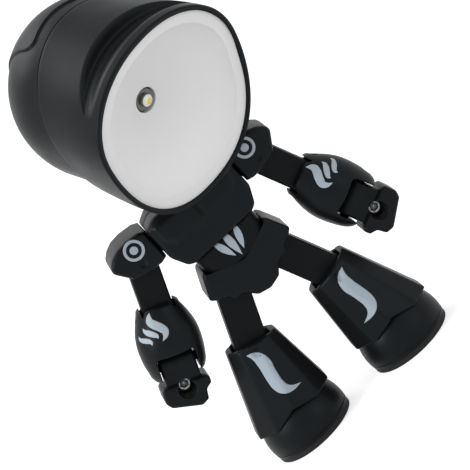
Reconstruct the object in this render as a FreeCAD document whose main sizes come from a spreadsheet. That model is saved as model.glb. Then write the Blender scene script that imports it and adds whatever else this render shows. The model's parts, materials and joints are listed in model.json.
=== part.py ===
"""Robot shaped desk lamp: a battery lamp whose helmet holds the light, on a body with jointed limbs.

Millimetres, +Z up, the robot faces -Y, its left side is +X and the floor is z = 0. The parts are
drawn round the torso's axis and written out round the middle of the lamp's own box.
"""
import FreeCAD, Part
import math
import os
import Sketcher

from FreeCAD import Rotation, Vector

DOC = FreeCAD.newDocument("RobotDeskLamp")
SHEET = DOC.addObject("Spreadsheet::Sheet", "Sizes")
SIDES = (("left", 1), ("right", -1))

# Driving dimensions: alias, value in millimetres or degrees, meaning
SIZES = (
    # Head
    ("head_pan", 24, "angle that the head is turned to its left"),
    ("head_tilt", 29, "angle that the head looks down"),
    ("face_half_width", 32.3, "rim, half its width"),
    ("face_top", 31, "rim, lamp axis to brow"),
    ("face_chin", 33.8, "rim, lamp axis to chin"),
    ("rim_wall", 1.6, "width of the dark rim round the bowl"),
    ("dome_radius", 29.8, "radius of the dome and of the sleeve ahead of it"),
    ("dome_centre", 35, "rim plane to the dome's centre"),
    ("shell_wall", 2.2, "wall of the moulded head shells"),
    ("brow_scoop_radius", 7.5, "radius of the scoop between brow and rim"),
    ("brow_scoop_depth", 3.6, "how far the scoop sinks below the crown"),
    ("rim_band", 3.4, "length of the rim ahead of the scoop"),
    ("seam_setback", 24, "rim plane to the head seam on the lamp axis"),
    ("seam_slope", 22, "lean of the seam away from the rim plane"),
    ("seam_gap", 0.35, "open joint between moulded shells"),
    ("bowl_depth", 14.4, "depth of the white bowl at the emitter"),
    ("bowl_lip", 4, "width of the flat lip round the bowl"),
    ("bowl_wall", 1.3, "wall of the white bowl"),
    ("emitter_hole", 4.25, "radius of the hole in the bowl"),
    ("board_radius", 10, "radius of the emitter's metal board"),
    ("board_thick", 1.6, "thickness of the emitter's metal board"),
    ("door_width", 26, "battery door, across the head"),
    ("door_length", 38, "battery door, along the dome"),
    ("door_rise", 0.7, "how far the door stands above the dome"),
    ("door_angle", 38, "direction the door faces, above the lamp axis"),
    ("door_gap", 0.3, "gap round the door"),
    ("cell_radius", 5.25, "radius of one battery cell"),
    ("cell_length", 44.5, "length of one battery cell"),
    ("holder_wall", 1.2, "end plates of the battery holder"),
    ("button_radius", 4, "radius of the power button"),
    ("button_angle", 52, "direction the button faces, below the lamp axis"),
    ("button_rise", 1.4, "how far the button stands out"),
    ("button_travel", 0.6, "stroke of the power button"),
    ("stand_back", 18.105, "torso axis to the middle of the lamp, front to back"),
    ("fit_gap", 0.3, "clearance between a moving piece and its neighbour"),
    # Neck
    ("tilt_height", 115, "floor to the head's tilt pin"),
    ("neck_reach", 9.96, "neck axis to the dome's centre, level"),
    ("dome_height", 136.66, "floor to the dome's centre"),
    ("neck_radius", 3.6, "radius of the neck post"),
    ("neck_collar", 7.5, "radius of the collar on the chest"),
    ("pin_radius", 1.5, "radius of the hinge pins"),
    ("pin_play", 0.06, "clearance of a pin in the piece that turns on it"),
    # Torso
    ("chest_half_width", 17.6, "chest, half its width"),
    ("chest_top", 94, "floor to the top of the chest"),
    ("chest_taper", 80, "floor to where the chest begins to narrow"),
    ("chest_bottom", 73, "floor to the bottom of the chest"),
    ("chest_foot_half", 13.2, "bottom of the chest, half its width"),
    ("chest_front", 11.5, "torso axis to the front of the chest"),
    ("chest_back", 10.5, "torso axis to the back of the chest"),
    ("pec_rise", 1.3, "how far the breast panels stand out"),
    ("pec_bottom", 82.5, "floor to the lower edge of the breast panels"),
    ("belly_half_width", 12.6, "belly, half its width"),
    ("belly_half_depth", 9.2, "belly, half its depth"),
    ("pelvis_half_width", 17.9, "pelvis, half its width at the hips"),
    ("pelvis_half_depth", 9.5, "pelvis, half its depth"),
    ("pelvis_top", 68.8, "floor to the pelvis rim"),
    ("pelvis_dip", 63.7, "floor to the dip in the pelvis rim"),
    ("hip_height", 60, "floor to the tips of the pelvis"),
    ("crotch_height", 49.2, "floor to the lowest point of the pelvis"),
    # Arms
    ("shoulder_x", 25.3, "torso axis to the arm pivot"),
    ("shoulder_z", 85, "floor to the arm pivot"),
    ("arm_splay", 23, "angle of the arm from upright"),
    ("pad_half_depth", 9.5, "shoulder pad, half its depth"),
    ("arm_half_width", 5.3, "upper arm, half its width"),
    ("arm_half_depth", 4, "upper arm, half its depth"),
    ("arm_length", 18.9, "arm pivot to elbow pivot"),
    ("cuff_radius", 10.9, "widest radius of the gauntlet"),
    ("cuff_top_radius", 7.3, "radius of the gauntlet's upper rim"),
    ("cuff_length", 22.5, "elbow pivot to the gauntlet's lower rim"),
    ("wrist_drop", 18.5, "elbow pivot to the wrist pin"),
    ("hand_half_width", 8.4, "hand, half its width"),
    ("hand_half_depth", 6.6, "hand, half its depth"),
    ("hand_length", 14.5, "wrist pin to the knuckles"),
    ("grip_radius", 3.0, "radius of the hole through the hand"),
    # Legs
    ("leg_splay", 23, "angle of the thigh from upright"),
    ("hip_x", 10.2, "torso axis to the hip pivot"),
    ("hip_z", 56, "floor to the hip pivot"),
    ("thigh_half_width", 5.8, "thigh, half its width"),
    ("thigh_half_depth", 4.2, "thigh, half its depth"),
    ("thigh_length", 21, "hip pivot to knee pivot"),
    ("foot_x", 22, "torso axis to the centre of the foot"),
    ("foot_radius", 15.6, "radius of the foot's ball"),
    ("ankle_height", 4.9, "floor to the centre of the foot's ball"),
    ("sole_thick", 2.0, "thickness of the sole plate"),
    ("ankle_pin", 1.2, "radius of the ankle pin"),
    ("boot_hem", 12.6, "floor to the hem of the boot"),
    ("boot_hem_rise", 2.6, "how far the hem rises at the front ridge"),
    ("boot_hem_half", 15.6, "hem of the boot, half its width"),
    ("boot_collar_x", 17.2, "torso axis to the middle of the boot collar"),
    ("boot_collar_half", 8.9, "collar of the boot, half its width"),
    ("boot_collar_depth", 8.6, "collar of the boot, half its depth"),
    ("boot_top", 39.2, "floor to the middle of the boot collar"),
    ("boot_collar_slope", 13.5, "slant of the boot collar"),
)


class Size:
    """A length that carries both its sheet expression and its present value."""

    def __init__(self, text, value):
        self.text, self.value = text, value

    def _join(self, sign, other, result, swap=False):
        other_text = other.text if isinstance(other, Size) else repr(float(other))
        first, second = (other_text, self.text) if swap else (self.text, other_text)
        return Size("(%s %s %s)" % (first, sign, second), result)

    def __add__(self, other):
        return self._join("+", other, self.value + number(other))

    def __radd__(self, other):
        return self._join("+", other, number(other) + self.value, swap=True)

    def __sub__(self, other):
        return self._join("-", other, self.value - number(other))

    def __rsub__(self, other):
        return self._join("-", other, number(other) - self.value, swap=True)

    def __mul__(self, other):
        return self._join("*", other, self.value * number(other))

    __rmul__ = __mul__

    def __truediv__(self, other):
        return self._join("/", other, self.value / number(other))

    def __neg__(self):
        return self * -1


class Sizes:
    """Every driving dimension of the sheet, as an attribute named like its alias."""

    def __init__(self):
        for row, (alias, value, meaning) in enumerate(SIZES, start=1):
            SHEET.set("A%d" % row, meaning)
            SHEET.set("B%d" % row, str(value))
            SHEET.setAlias("B%d" % row, alias)
        DOC.recompute()
        for alias, _, _ in SIZES:
            setattr(self, alias, Size("Sizes." + alias, float(SHEET.get(alias))))


def number(size):
    """The plain number of a Size, or of a number."""
    return size.value if isinstance(size, Size) else float(size)


def bind(target, name, size):
    """Set a property, tied to the sheet where it is a Size."""
    if isinstance(size, Size):
        target.setExpression(name, size.text)
    else:
        setattr(target, name, size)


# Sketches and features

def new_body(label):
    body = DOC.addObject("PartDesign::Body", label)
    body.Label = label
    return body


def new_sketch(body, role, level=0):
    """An empty sketch on one of the body's own planes, moved along its normal to level."""
    sketch = body.newObject("Sketcher::SketchObject", body.Name + "_sketch")
    plane = next(item for item in body.Origin.OriginFeatures if item.Role == role)
    sketch.AttachmentSupport = (plane, [""])
    sketch.MapMode = "FlatFace"
    bind(sketch, "AttachmentOffset.Base.z", level) if isinstance(level, Size) else None
    if not isinstance(level, Size) and level:
        sketch.AttachmentOffset = FreeCAD.Placement(Vector(0, 0, level), Rotation())
    return sketch


def pin_point(sketch, edge, end, x, y):
    """Hold one sketch point at x, y from the sketch's origin."""
    for kind, size in (("DistanceX", x), ("DistanceY", y)):
        index = sketch.addConstraint(Sketcher.Constraint(kind, edge, end, number(size)))
        if isinstance(size, Size):
            sketch.setExpression("Constraints[%d]" % index, size.text)


def polygon(body, role, points, level=0):
    """A closed outline of straight edges through points."""
    sketch = new_sketch(body, role, level)
    corners = [Vector(number(x), number(y), 0) for x, y in points]
    count = len(corners)
    for index, corner in enumerate(corners):
        sketch.addGeometry(Part.LineSegment(corner, corners[(index + 1) % count]), False)
    for index in range(count):
        sketch.addConstraint(Sketcher.Constraint("Coincident", index, 2, (index + 1) % count, 1))
    for index, (x, y) in enumerate(points):
        pin_point(sketch, index, 1, x, y)
    return sketch


def circles(body, role, centres, radius, level=0):
    """One circle of the same radius at each centre."""
    sketch = new_sketch(body, role, level)
    for index, (x, y) in enumerate(centres):
        centre = Vector(number(x), number(y), 0)
        sketch.addGeometry(Part.Circle(centre, Vector(0, 0, 1), number(radius)), False)
        pin_point(sketch, index, 3, x, y)
        held = sketch.addConstraint(Sketcher.Constraint("Radius", index, number(radius)))
        if isinstance(radius, Size):
            sketch.setExpression("Constraints[%d]" % held, radius.text)
    return sketch


def pad(body, sketch, length, both_ways=True, reverse=False):
    feature = body.newObject("PartDesign::Pad", body.Name + "_pad")
    feature.Profile = sketch
    bind(feature, "Length", length)
    feature.Midplane = both_ways
    feature.Reversed = reverse
    return feature


def pocket(body, sketch, depth, both_ways=True, reverse=False):
    """A pocket, which must take material away."""
    DOC.recompute()
    before = body.Shape.Volume
    feature = body.newObject("PartDesign::Pocket", body.Name + "_pocket")
    feature.Profile = sketch
    bind(feature, "Length", depth)
    feature.Midplane = both_ways
    feature.Reversed = reverse
    DOC.recompute()
    if body.Shape.Volume >= before:
        raise RuntimeError("a pocket of %s cuts nothing" % body.Label)
    return feature


def fillet(body, radius, chosen):
    """Round the edges of the body's tip for which chosen(edge) holds."""
    DOC.recompute()
    tip = body.Tip
    names = ["Edge%d" % (index + 1) for index, edge in enumerate(tip.Shape.Edges) if chosen(edge)]
    feature = body.newObject("PartDesign::Fillet", body.Name + "_fillet")
    feature.Base = (tip, names)
    bind(feature, "Radius", radius)
    DOC.recompute()
    if not names or "Invalid" in feature.State or body.Shape.Volume <= 0:
        raise RuntimeError("a fillet of %s failed on %d edges" % (body.Label, len(names)))
    return feature


def direction(edge):
    """Unit vector along a straight edge, or a zero vector for a curve."""
    if not isinstance(edge.Curve, Part.Line):
        return Vector()
    return edge.Curve.Direction


def along(axis):
    """A chooser of the straight edges that run along axis."""
    return lambda edge: abs(direction(edge).dot(axis)) > 0.99


def on_plane(axis, low, high):
    """A chooser of the edges whose whole length lies between low and high along axis."""
    def chosen(edge):
        places = [point.dot(axis) for point in edge.discretize(5)]
        return low < min(places) and max(places) < high
    return chosen


X, Y, Z = Vector(1, 0, 0), Vector(0, 1, 0), Vector(0, 0, 1)


def mirrored(points, side):
    """Points of a front outline, on the robot's left for side 1 and its right for -1."""
    return [(side * x, z) for x, z in points]


def solid_part(label, shape, placement=None):
    """A part whose solid comes from Part's own functions."""
    feature = DOC.addObject("Part::Feature", label)
    feature.Label = label
    feature.Shape = shape
    if placement is not None:
        feature.Placement = placement.multiply(shape.Placement)
    return feature


def pin_part(label, radius, length, centre, axis, placement=None):
    """A plain round pin, its middle at centre and its length along axis."""
    pin = DOC.addObject("Part::Cylinder", label)
    pin.Label = label
    bind(pin, "Radius", radius)
    bind(pin, "Height", length)
    start = centre - axis * (number(length) / 2)
    local = FreeCAD.Placement(start, Rotation(Z, axis))
    pin.Placement = placement.multiply(local) if placement is not None else local
    return pin


# Head: frames and shared forms. In the head's own frame the rim lies on y = 0 and the
# lamp shines along -Y, so that its placement alone turns and tilts it.

def head_placement(s):
    """Placement of the head's frame: pan about the neck, tilt down, dome over the neck."""
    turn = Rotation(Z, s.head_pan.value).multiply(Rotation(X, s.head_tilt.value))
    pan = math.radians(s.head_pan.value)
    dome = Vector(math.sin(pan), -math.cos(pan), 0) * s.neck_reach.value
    dome.z = s.dome_height.value
    return FreeCAD.Placement(dome - turn.multVec(Vector(0, s.dome_centre.value, 0)), turn)


def tilt_pivot(s):
    """The tilt pin's centre in the head's own frame."""
    return head_placement(s).inverse().multVec(Vector(0, 0, s.tilt_height.value))


def face_outline(half_width, top, chin, y, fullness=2.2, cheek_lift=0.06, count=16):
    """An egg shaped outline: rounder than an ellipse, with a flatter brow and a slim chin."""
    points = []
    for index in range(count):
        angle = 2 * math.pi * index / count
        across, up = math.cos(angle), math.sin(angle)
        height = math.copysign(abs(up) ** (2 / fullness), up)
        width = math.copysign(abs(across) ** (2 / fullness), across)
        width *= 1 + cheek_lift * up * (1 - abs(up)) * 2
        points.append(Vector(half_width * width, y, (top if up > 0 else chin) * height))
    curve = Part.BSplineCurve()
    curve.interpolate(points, PeriodicFlag=True)
    return Part.Wire(curve.toShape())


def dome_solid(s, inset=0.0):
    """Rear of the helmet: a round sleeve closed by half a ball, moved inwards by inset."""
    radius, start = s.dome_radius.value - inset, SLEEVE_START
    sleeve = Part.makeCylinder(radius, s.dome_centre.value - start, Vector(0, start, 0), Y)
    ball = Part.makeSphere(radius, Vector(0, s.dome_centre.value, 0), Y, 0, 90, 360)
    return sleeve.fuse(ball).removeSplitter()


SLEEVE_START = 6.0


def visor_solid(s, inset=0.0):
    """Front of the helmet: a loft from the egg shaped rim to the dome's round sleeve."""
    rim = (s.face_half_width.value, s.face_top.value, s.face_chin.value)
    radius, back = s.dome_radius.value, s.dome_centre.value + 4
    front = inset * 0.2
    sections = []
    for share in (0, 0.3, 0.6, 0.85, 1):
        blend = share * share * (3 - 2 * share)
        sizes = [(1 - blend) * size + blend * radius - inset for size in rim]
        sections.append(face_outline(*sizes, front + (back - front) * share,
                                     2.2 - 0.2 * blend, 0.06 * (1 - blend)))
    return Part.makeLoft(sections, True, False)


def brow_scoop(s, grow=0.0):
    """The round cutter that sinks a crescent between the brow and the rim."""
    radius = s.brow_scoop_radius.value + grow
    centre_y = s.rim_band.value + s.brow_scoop_radius.value * 0.72
    centre_z = s.face_top.value + s.brow_scoop_radius.value - s.brow_scoop_depth.value
    length = 4 * s.face_half_width.value
    tool = Part.makeCylinder(radius, length, Vector(-length / 2, centre_y, centre_z), X)
    ahead = Part.makeBox(length, length, length,
                         Vector(-length / 2, s.rim_band.value - grow, centre_z - length / 2))
    return tool.common(ahead)


def behind_seam(s, offset):
    """A large block whose front face is the leaning seam plane, moved back by offset."""
    span = 200.0
    block = Part.makeBox(span, span, 2 * span, Vector(-span / 2, 0, -span))
    block.rotate(Vector(), X, -s.seam_slope.value)
    block.translate(Vector(0, s.seam_setback.value + offset, 0))
    return block


def dome_frame(s, degrees):
    """Placement at the dome's centre whose Z points out at an angle above the lamp axis."""
    turn = math.radians(degrees)
    outward = Vector(0, math.cos(turn), math.sin(turn))
    rotation = Rotation(X, Vector(0, math.sin(turn), -math.cos(turn)), outward, "XYZ")
    return FreeCAD.Placement(Vector(0, s.dome_centre.value, 0), rotation)


def door_prism(s, grow):
    """A rounded block through the dome's top rear, the battery door's outline plus grow."""
    width, length = s.door_width.value + 2 * grow, s.door_length.value + 2 * grow
    depth = 60.0
    block = Part.makeBox(width, length, depth, Vector(-width / 2, -length / 2, 0))
    upright = [edge for edge in block.Edges if along(Z)(edge)]
    block = block.makeFillet(4.0 + grow, upright)
    block.Placement = dome_frame(s, s.door_angle.value)
    return block


SCREW_PLACES = ((21.0, -14.0), (-21.0, -14.0))


def screw_bars(radius, front, back):
    """Round bars along the lamp axis at the two head screws."""
    bars = [Part.makeCylinder(radius, back - front, Vector(x, front, z), Y) for x, z in SCREW_PLACES]
    return bars[0].fuse(bars[1])


def screw_bosses(front, back, within):
    """Screw bosses inside a shell's outer form, each tied to the side wall by a web."""
    bosses = screw_bars(3.6, front, back)
    for x, z in SCREW_PLACES:
        start = Vector(x if x > 0 else x - 14, front, z - 1.1)
        bosses = bosses.fuse(Part.makeBox(14, back - front, 2.2, start))
    return bosses.common(within)


def make_front_shell(s, placement):
    """Front half of the helmet: rim, brow scoop and the seat of the white bowl."""
    outer = visor_solid(s)
    hollow = visor_solid(s, s.shell_wall.value).cut(brow_scoop(s, s.shell_wall.value))
    mouth = face_outline(s.face_half_width.value - s.rim_wall.value,
                         s.face_top.value - s.rim_wall.value,
                         s.face_chin.value - s.rim_wall.value, -1)
    opening = Part.Face(mouth).extrude(Vector(0, 4, 0))
    behind = behind_seam(s, -s.seam_gap.value / 2)
    seam = s.seam_setback.value
    bosses = screw_bosses(11.0, seam + 10, outer).cut(screw_bars(1.0, 12.0, seam + 12))
    shell = outer.cut(behind).cut(brow_scoop(s)).cut(hollow).cut(opening)
    shell = shell.fuse(bosses.cut(behind))
    return solid_part("head_front_shell", shell.cut(bowl_keepout(s)), placement)


LIP_FRONT = 0.9


def bowl_section(s, share, y, shrink=0.0):
    """One section of the white bowl, a share of the opening's size."""
    rim = s.rim_wall.value + 0.15
    return face_outline((s.face_half_width.value - rim) * share - shrink,
                        (s.face_top.value - rim) * share - shrink,
                        (s.face_chin.value - rim) * share - shrink, y)


def bowl_surface(s, back, shrink=0.0):
    """Solid that fills the bowl from its mouth to its floor, moved back by back."""
    depth = s.bowl_depth.value
    lip = 1 - s.bowl_lip.value / s.face_half_width.value
    stations = ((lip, LIP_FRONT / depth), (lip - 0.05, 0.3), (lip - 0.18, 0.58), (lip - 0.38, 0.82),
                (lip - 0.58, 0.95), (0.12, 1.0))
    sections = [bowl_section(s, share, depth * place + back, shrink) for share, place in stations]
    return Part.makeLoft(sections, True, False)


def bowl_keepout(s):
    """What the bowl needs clear inside the front shell."""
    edge = Part.Face(bowl_section(s, 1.0, 0.4)).extrude(Vector(0, 2.5, 0))
    return edge


def make_reflector(s, placement):
    """White bowl: a flat lip inside the rim, a dished wall and a hole for the emitter."""
    depth, wall = s.bowl_depth.value, s.bowl_wall.value
    lip = Part.Face(bowl_section(s, 1.0, LIP_FRONT)).extrude(Vector(0, wall, 0))
    outside = bowl_surface(s, wall * 0.8, -wall * 0.8)
    seat = Part.makeCylinder(s.emitter_hole.value + 3, 3.0, Vector(0, depth - 1.5, 0), Y)
    hole = Part.makeCylinder(s.emitter_hole.value, 12.0, Vector(0, depth - 6, 0), Y)
    mouth = Part.Face(bowl_section(s, 1 - s.bowl_lip.value / s.face_half_width.value, -1))
    mouth = mouth.extrude(Vector(0, 1 + LIP_FRONT + 0.05, 0))
    bowl = lip.fuse([outside, seat]).cut(mouth).cut(bowl_surface(s, 0)).cut(hole)
    return solid_part("reflector", bowl, placement)


def make_emitter(s, placement):
    """Metal board behind the bowl and the light emitter that looks through its hole."""
    board_front = s.bowl_depth.value + 1.5
    board = Part.makeCylinder(s.board_radius.value, s.board_thick.value, Vector(0, board_front, 0), Y)
    solid_part("led_board", board, placement)
    base = Part.makeCylinder(3.6, 1.0, Vector(0, board_front - 1.0, 0), Y)
    dome = Part.makeSphere(2.4, Vector(0, board_front - 1.0, 0), Vector(0, -1, 0), 0, 90, 360)
    solid_part("led_emitter", base.fuse(dome), placement)


def make_rear_shell(s, placement):
    """Rear half of the helmet: dome, battery opening, button bore, neck slot and ears."""
    wall = s.shell_wall.value
    outer = dome_solid(s)
    shell = outer.cut(dome_solid(s, wall))
    seat = door_prism(s, 2.0).common(dome_solid(s, 1.6).cut(dome_solid(s, wall + 1.4)))
    shell = shell.fuse(seat)
    shell = shell.cut(door_prism(s, s.door_gap.value).cut(dome_solid(s, 1.6)))
    shell = shell.cut(door_prism(s, -2.0))
    seam = s.seam_setback.value
    shell = shell.fuse([screw_bosses(10.0, 60.0, outer), ears(s).common(outer)])
    shell = shell.cut(screw_bars(2.7, seam + 8, 80.0)).cut(screw_bars(1.4, 0.0, 80.0))
    pivot = tilt_pivot(s)
    shell = shell.cut(Part.makeCylinder(s.pin_radius.value, 40, pivot - X * 20, X))
    inner_play = Part.makeCylinder(4.6, 2 * EAR_INNER, pivot - X * EAR_INNER, X)
    shell = shell.cut(neck_slot(s).fuse(inner_play)).cut(button_bore(s))
    shell = shell.common(behind_seam(s, s.seam_gap.value / 2))
    return solid_part("head_rear_shell", shell, placement)


EAR_INNER, EAR_OUTER, EAR_RADIUS = 3.9, 7.8, 4.2


def ears(s):
    """Two ears inside the dome that hold the tilt pin."""
    pivot = tilt_pivot(s)
    shapes = []
    for side in (1, -1):
        start = pivot + X * (EAR_INNER if side > 0 else -EAR_OUTER)
        thick = EAR_OUTER - EAR_INNER
        disc = Part.makeCylinder(EAR_RADIUS, thick, start, X)
        web = Part.makeBox(thick, 2 * EAR_RADIUS, 12, start - Y * EAR_RADIUS - Z * 12)
        shapes.append(disc.fuse(web))
    return shapes[0].fuse(shapes[1])


def neck_slot(s):
    """The slot that lets the dome nod over the neck post."""
    pivot = tilt_pivot(s)
    ahead, behind = 12.0, 7.5
    return Part.makeBox(2 * EAR_INNER, ahead + behind, 40, pivot - X * EAR_INNER - Y * ahead - Z * 40)


def make_door(s, placement):
    """Battery door: a curved plate with rounded corners, standing a little proud."""
    plate = dome_solid(s, -s.door_rise.value).cut(dome_solid(s, 1.5)).common(door_prism(s, 0))
    frame = dome_frame(s, s.door_angle.value)
    screw_axis = frame.multiply(FreeCAD.Placement(Vector(0, s.door_length.value / 2 - 5.5, 0), Rotation()))
    bore = Part.makeCylinder(1.3, 40)
    head = Part.makeCylinder(2.5, 10, Vector(0, 0, screw_level(s)))
    tool = bore.fuse(head)
    tool.Placement = screw_axis
    solid_part("battery_door", plate.cut(tool), placement)
    shank = Part.makeCylinder(1.2, 5.0, Vector(0, 0, screw_level(s) - 5.0))
    cap = Part.makeCylinder(2.3, 0.8, Vector(0, 0, screw_level(s)))
    screw = shank.fuse(cap)
    screw.Placement = screw_axis
    solid_part("battery_door_screw", screw, placement)


def screw_level(s):
    """Height of the door screw's seat above the dome's centre, along the door's direction."""
    along_door = s.door_length.value / 2 - 5.5
    return math.sqrt(s.dome_radius.value ** 2 - along_door ** 2) - 0.6


HOLDER_OFFSET = 3.0


def cell_centres(s):
    """Three cells packed in a triangle, in the holder's own frame."""
    reach = s.cell_radius.value * 1.17
    angles = (90, 210, 330)
    return [Vector(reach * math.cos(math.radians(a)), 0, reach * math.sin(math.radians(a)))
            for a in angles]


def make_batteries(s, placement):
    """Three cells in a holder that drops in through the battery door."""
    frame = dome_frame(s, s.door_angle.value)
    half = s.cell_length.value / 2
    wall = s.holder_wall.value
    lift = Vector(0, 0, HOLDER_OFFSET)
    plates = []
    for start in (-half - 0.4 - wall, half + 0.4):
        plates.append(Part.makeCylinder(10.6, wall, lift + Y * start, Y))
    spine = Part.makeCylinder(0.85, 2 * half + 1.5, lift - Y * (half + 0.75), Y)
    holder = plates[0].fuse([plates[1], spine])
    holder.Placement = frame
    solid_part("battery_holder", holder, placement)
    for index, centre in enumerate(cell_centres(s), start=1):
        cell = Part.makeCylinder(s.cell_radius.value - 0.05, 2 * half - 1.2, lift + centre - Y * half, Y)
        nub = Part.makeCylinder(1.9, 1.2, lift + centre + Y * (half - 1.2), Y)
        cell = cell.fuse(nub)
        cell.Placement = frame
        solid_part("battery_cell_%d" % index, cell, placement)


def button_bore(s):
    """Bore of the power button through the dome."""
    bore = Part.makeCylinder(s.button_radius.value + 0.2, 40)
    bore.Placement = dome_frame(s, -s.button_angle.value)
    return bore


def make_button(s, placement):
    """Power button in the dome's lower rear and the switch that it presses."""
    frame = dome_frame(s, -s.button_angle.value)
    surface = s.dome_radius.value
    cap = Part.makeCylinder(s.button_radius.value, s.button_rise.value + 2.0,
                            Vector(0, 0, surface - 2.0))
    cap = cap.makeFillet(0.7, [edge for edge in cap.Edges
                               if on_plane(Z, surface + s.button_rise.value - 0.1, surface + 9)(edge)])
    cap.Placement = frame
    solid_part("power_button", cap, placement)
    top = surface - 2.0 - s.button_travel.value - 0.05
    body = Part.makeBox(7, 7, 2.2, Vector(-3.5, -3.5, top - 2.2))
    body.Placement = frame
    solid_part("power_switch", body, placement)


def make_head_screws(s, placement):
    """Two screws that draw the front shell to the rear shell."""
    seat = s.seam_setback.value + 8
    for (x, z), (name, _) in zip(SCREW_PLACES, SIDES):
        shank = Part.makeCylinder(1.0, 16, Vector(x, seat - 15.5, z), Y)
        cap = Part.makeCylinder(2.3, 1.6, Vector(x, seat, z), Y)
        solid_part("head_screw_" + name, shank.fuse(cap), placement)


# Neck

def make_neck(s):
    """Swivel post: a flange held inside the chest, a collar, and an eye for the tilt pin."""
    turn = FreeCAD.Placement(Vector(), Rotation(Z, s.head_pan.value))
    top, radius = s.chest_top.value, s.neck_radius.value
    eye = s.tilt_height.value
    post = Part.makeCylinder(7.0, 2.0, Vector(0, 0, top - 8))
    post = post.fuse([
        Part.makeCylinder(5.0, 8.2, Vector(0, 0, top - 7.8)),
        Part.makeCylinder(s.neck_collar.value, 2.4, Vector(0, 0, top + s.fit_gap.value)),
        Part.makeCone(6.2, radius, 3.0, Vector(0, 0, top + 2.5)),
        Part.makeCylinder(radius, eye - top - 8.5, Vector(0, 0, top + 4)),
    ])
    half = EAR_INNER - s.fit_gap.value
    tongue = Part.makeCylinder(4.0, 2 * half, Vector(-half, 0, eye), X)
    stem = Part.makeBox(2 * half, 2 * 3.4, 9, Vector(-half, -3.4, eye - 9))
    post = post.fuse([tongue, stem])
    bore = s.pin_radius.value + s.pin_play.value
    post = post.cut(Part.makeCylinder(bore, 20, Vector(-10, 0, eye), X))
    solid_part("neck_post", post, turn)
    pin_part("tilt_pin", s.pin_radius, 2 * EAR_OUTER, Vector(0, 0, eye), X, turn)


# Torso

def chest_points(s):
    wide, foot = s.chest_half_width, s.chest_foot_half
    left = [(foot - 0.8, s.chest_bottom), (foot + 1.6, s.chest_bottom + 1.2),
            (wide, s.chest_taper), (wide, s.chest_top - 2), (wide - 3.6, s.chest_top)]
    return left + [(-x, z) for x, z in reversed(left)]


def make_chest(s):
    """Front and back of the chest, halved on the shoulder axis."""
    for label, facing, depth in (("chest_front", 1, s.chest_front), ("chest_back", -1, s.chest_back)):
        body = new_body(label)
        pad(body, polygon(body, "XZ_Plane", chest_points(s)), depth, False, facing < 0)
        edge_low, edge_high = ((-99, -number(depth) + 0.1) if facing > 0 else
                               (number(depth) - 0.1, 99))
        fillet(body, 1.8, on_plane(Y, edge_low, edge_high))
        if facing > 0:
            add_breast_panels(s, body)
        cut_neck_seat(s, body)
        cut_shoulder_bore(s, body)
        cut_chest_screws(body, facing)


def add_breast_panels(s, body):
    """Two raised panels with a groove between them, standing out of the chest."""
    for side in (1, -1):
        points = mirrored([(0.5, s.pec_bottom), (s.chest_half_width - 5.4, s.pec_bottom),
                           (s.chest_half_width - 2.4, s.pec_bottom + 4),
                           (s.chest_half_width - 2.4, s.chest_top - 2.4),
                           (0.5, s.chest_top - 2.4)], side)
        sketch = polygon(body, "XZ_Plane", points)
        pad(body, sketch, s.chest_front + s.pec_rise, False)
    front = -number(s.chest_front + s.pec_rise)
    fillet(body, 0.9, on_plane(Y, front - 0.1, front + 0.1))


def cut_neck_seat(s, body):
    """Bore and groove that hold the neck's flange."""
    for radius, level, depth in ((5.0 + s.fit_gap, s.chest_top - 5.7, 12.0),
                                 (7.0 + s.fit_gap, s.chest_top - 8.3, 2.6)):
        sketch = circles(body, "XY_Plane", [(0, 0)], radius, level)
        pocket(body, sketch, depth, False, True)


def cut_shoulder_bore(s, body):
    """Bearing of the shoulder pegs, with a groove behind each wall for the peg's head."""
    sketch = circles(body, "YZ_Plane", [(0, s.shoulder_z)], 3.2, 0)
    pocket(body, sketch, s.chest_half_width * 2 + 2, True)
    sketch = circles(body, "YZ_Plane", [(0, s.shoulder_z)], 4.8, 0)
    pocket(body, sketch, (s.chest_half_width - 2.7) * 2, True)


CHEST_SCREW_X = 9.0
CHEST_SCREW_Z = 77.0


def cut_chest_screws(body, facing):
    """Two screw holes, open at the back and blind in the front."""
    places = [(CHEST_SCREW_X, CHEST_SCREW_Z), (-CHEST_SCREW_X, CHEST_SCREW_Z)]
    if facing > 0:
        pocket(body, circles(body, "XZ_Plane", places, 1.0), 7.0, False, True)
        return
    pocket(body, circles(body, "XZ_Plane", places, 1.3), 30.0, False, False)
    pocket(body, circles(body, "XZ_Plane", places, 2.6, -5.0), 30.0, False, False)


def make_chest_screws():
    for name, side in SIDES:
        shank = Part.makeCylinder(1.0, 11.0, Vector(side * CHEST_SCREW_X, -6.0, CHEST_SCREW_Z), Y)
        cap = Part.makeCylinder(2.3, 1.6, Vector(side * CHEST_SCREW_X, 5.0, CHEST_SCREW_Z), Y)
        solid_part("chest_screw_" + name, shank.fuse(cap))


BELLY_SINK = 0.6


def make_belly(s):
    """Belly block with rounded corners between chest and pelvis."""
    body = new_body("belly")
    wide, deep = s.belly_half_width, s.belly_half_depth
    corners = [(-wide, -deep), (wide, -deep), (wide, deep), (-wide, deep)]
    low = s.pelvis_dip - BELLY_SINK
    pad(body, polygon(body, "XY_Plane", corners, low), s.chest_bottom - low, False)
    fillet(body, 5.0, along(Z))
    pocket(body, circles(body, "XY_Plane", [(0, 0)], 1.0, low), 8.0, False, True)


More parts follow.
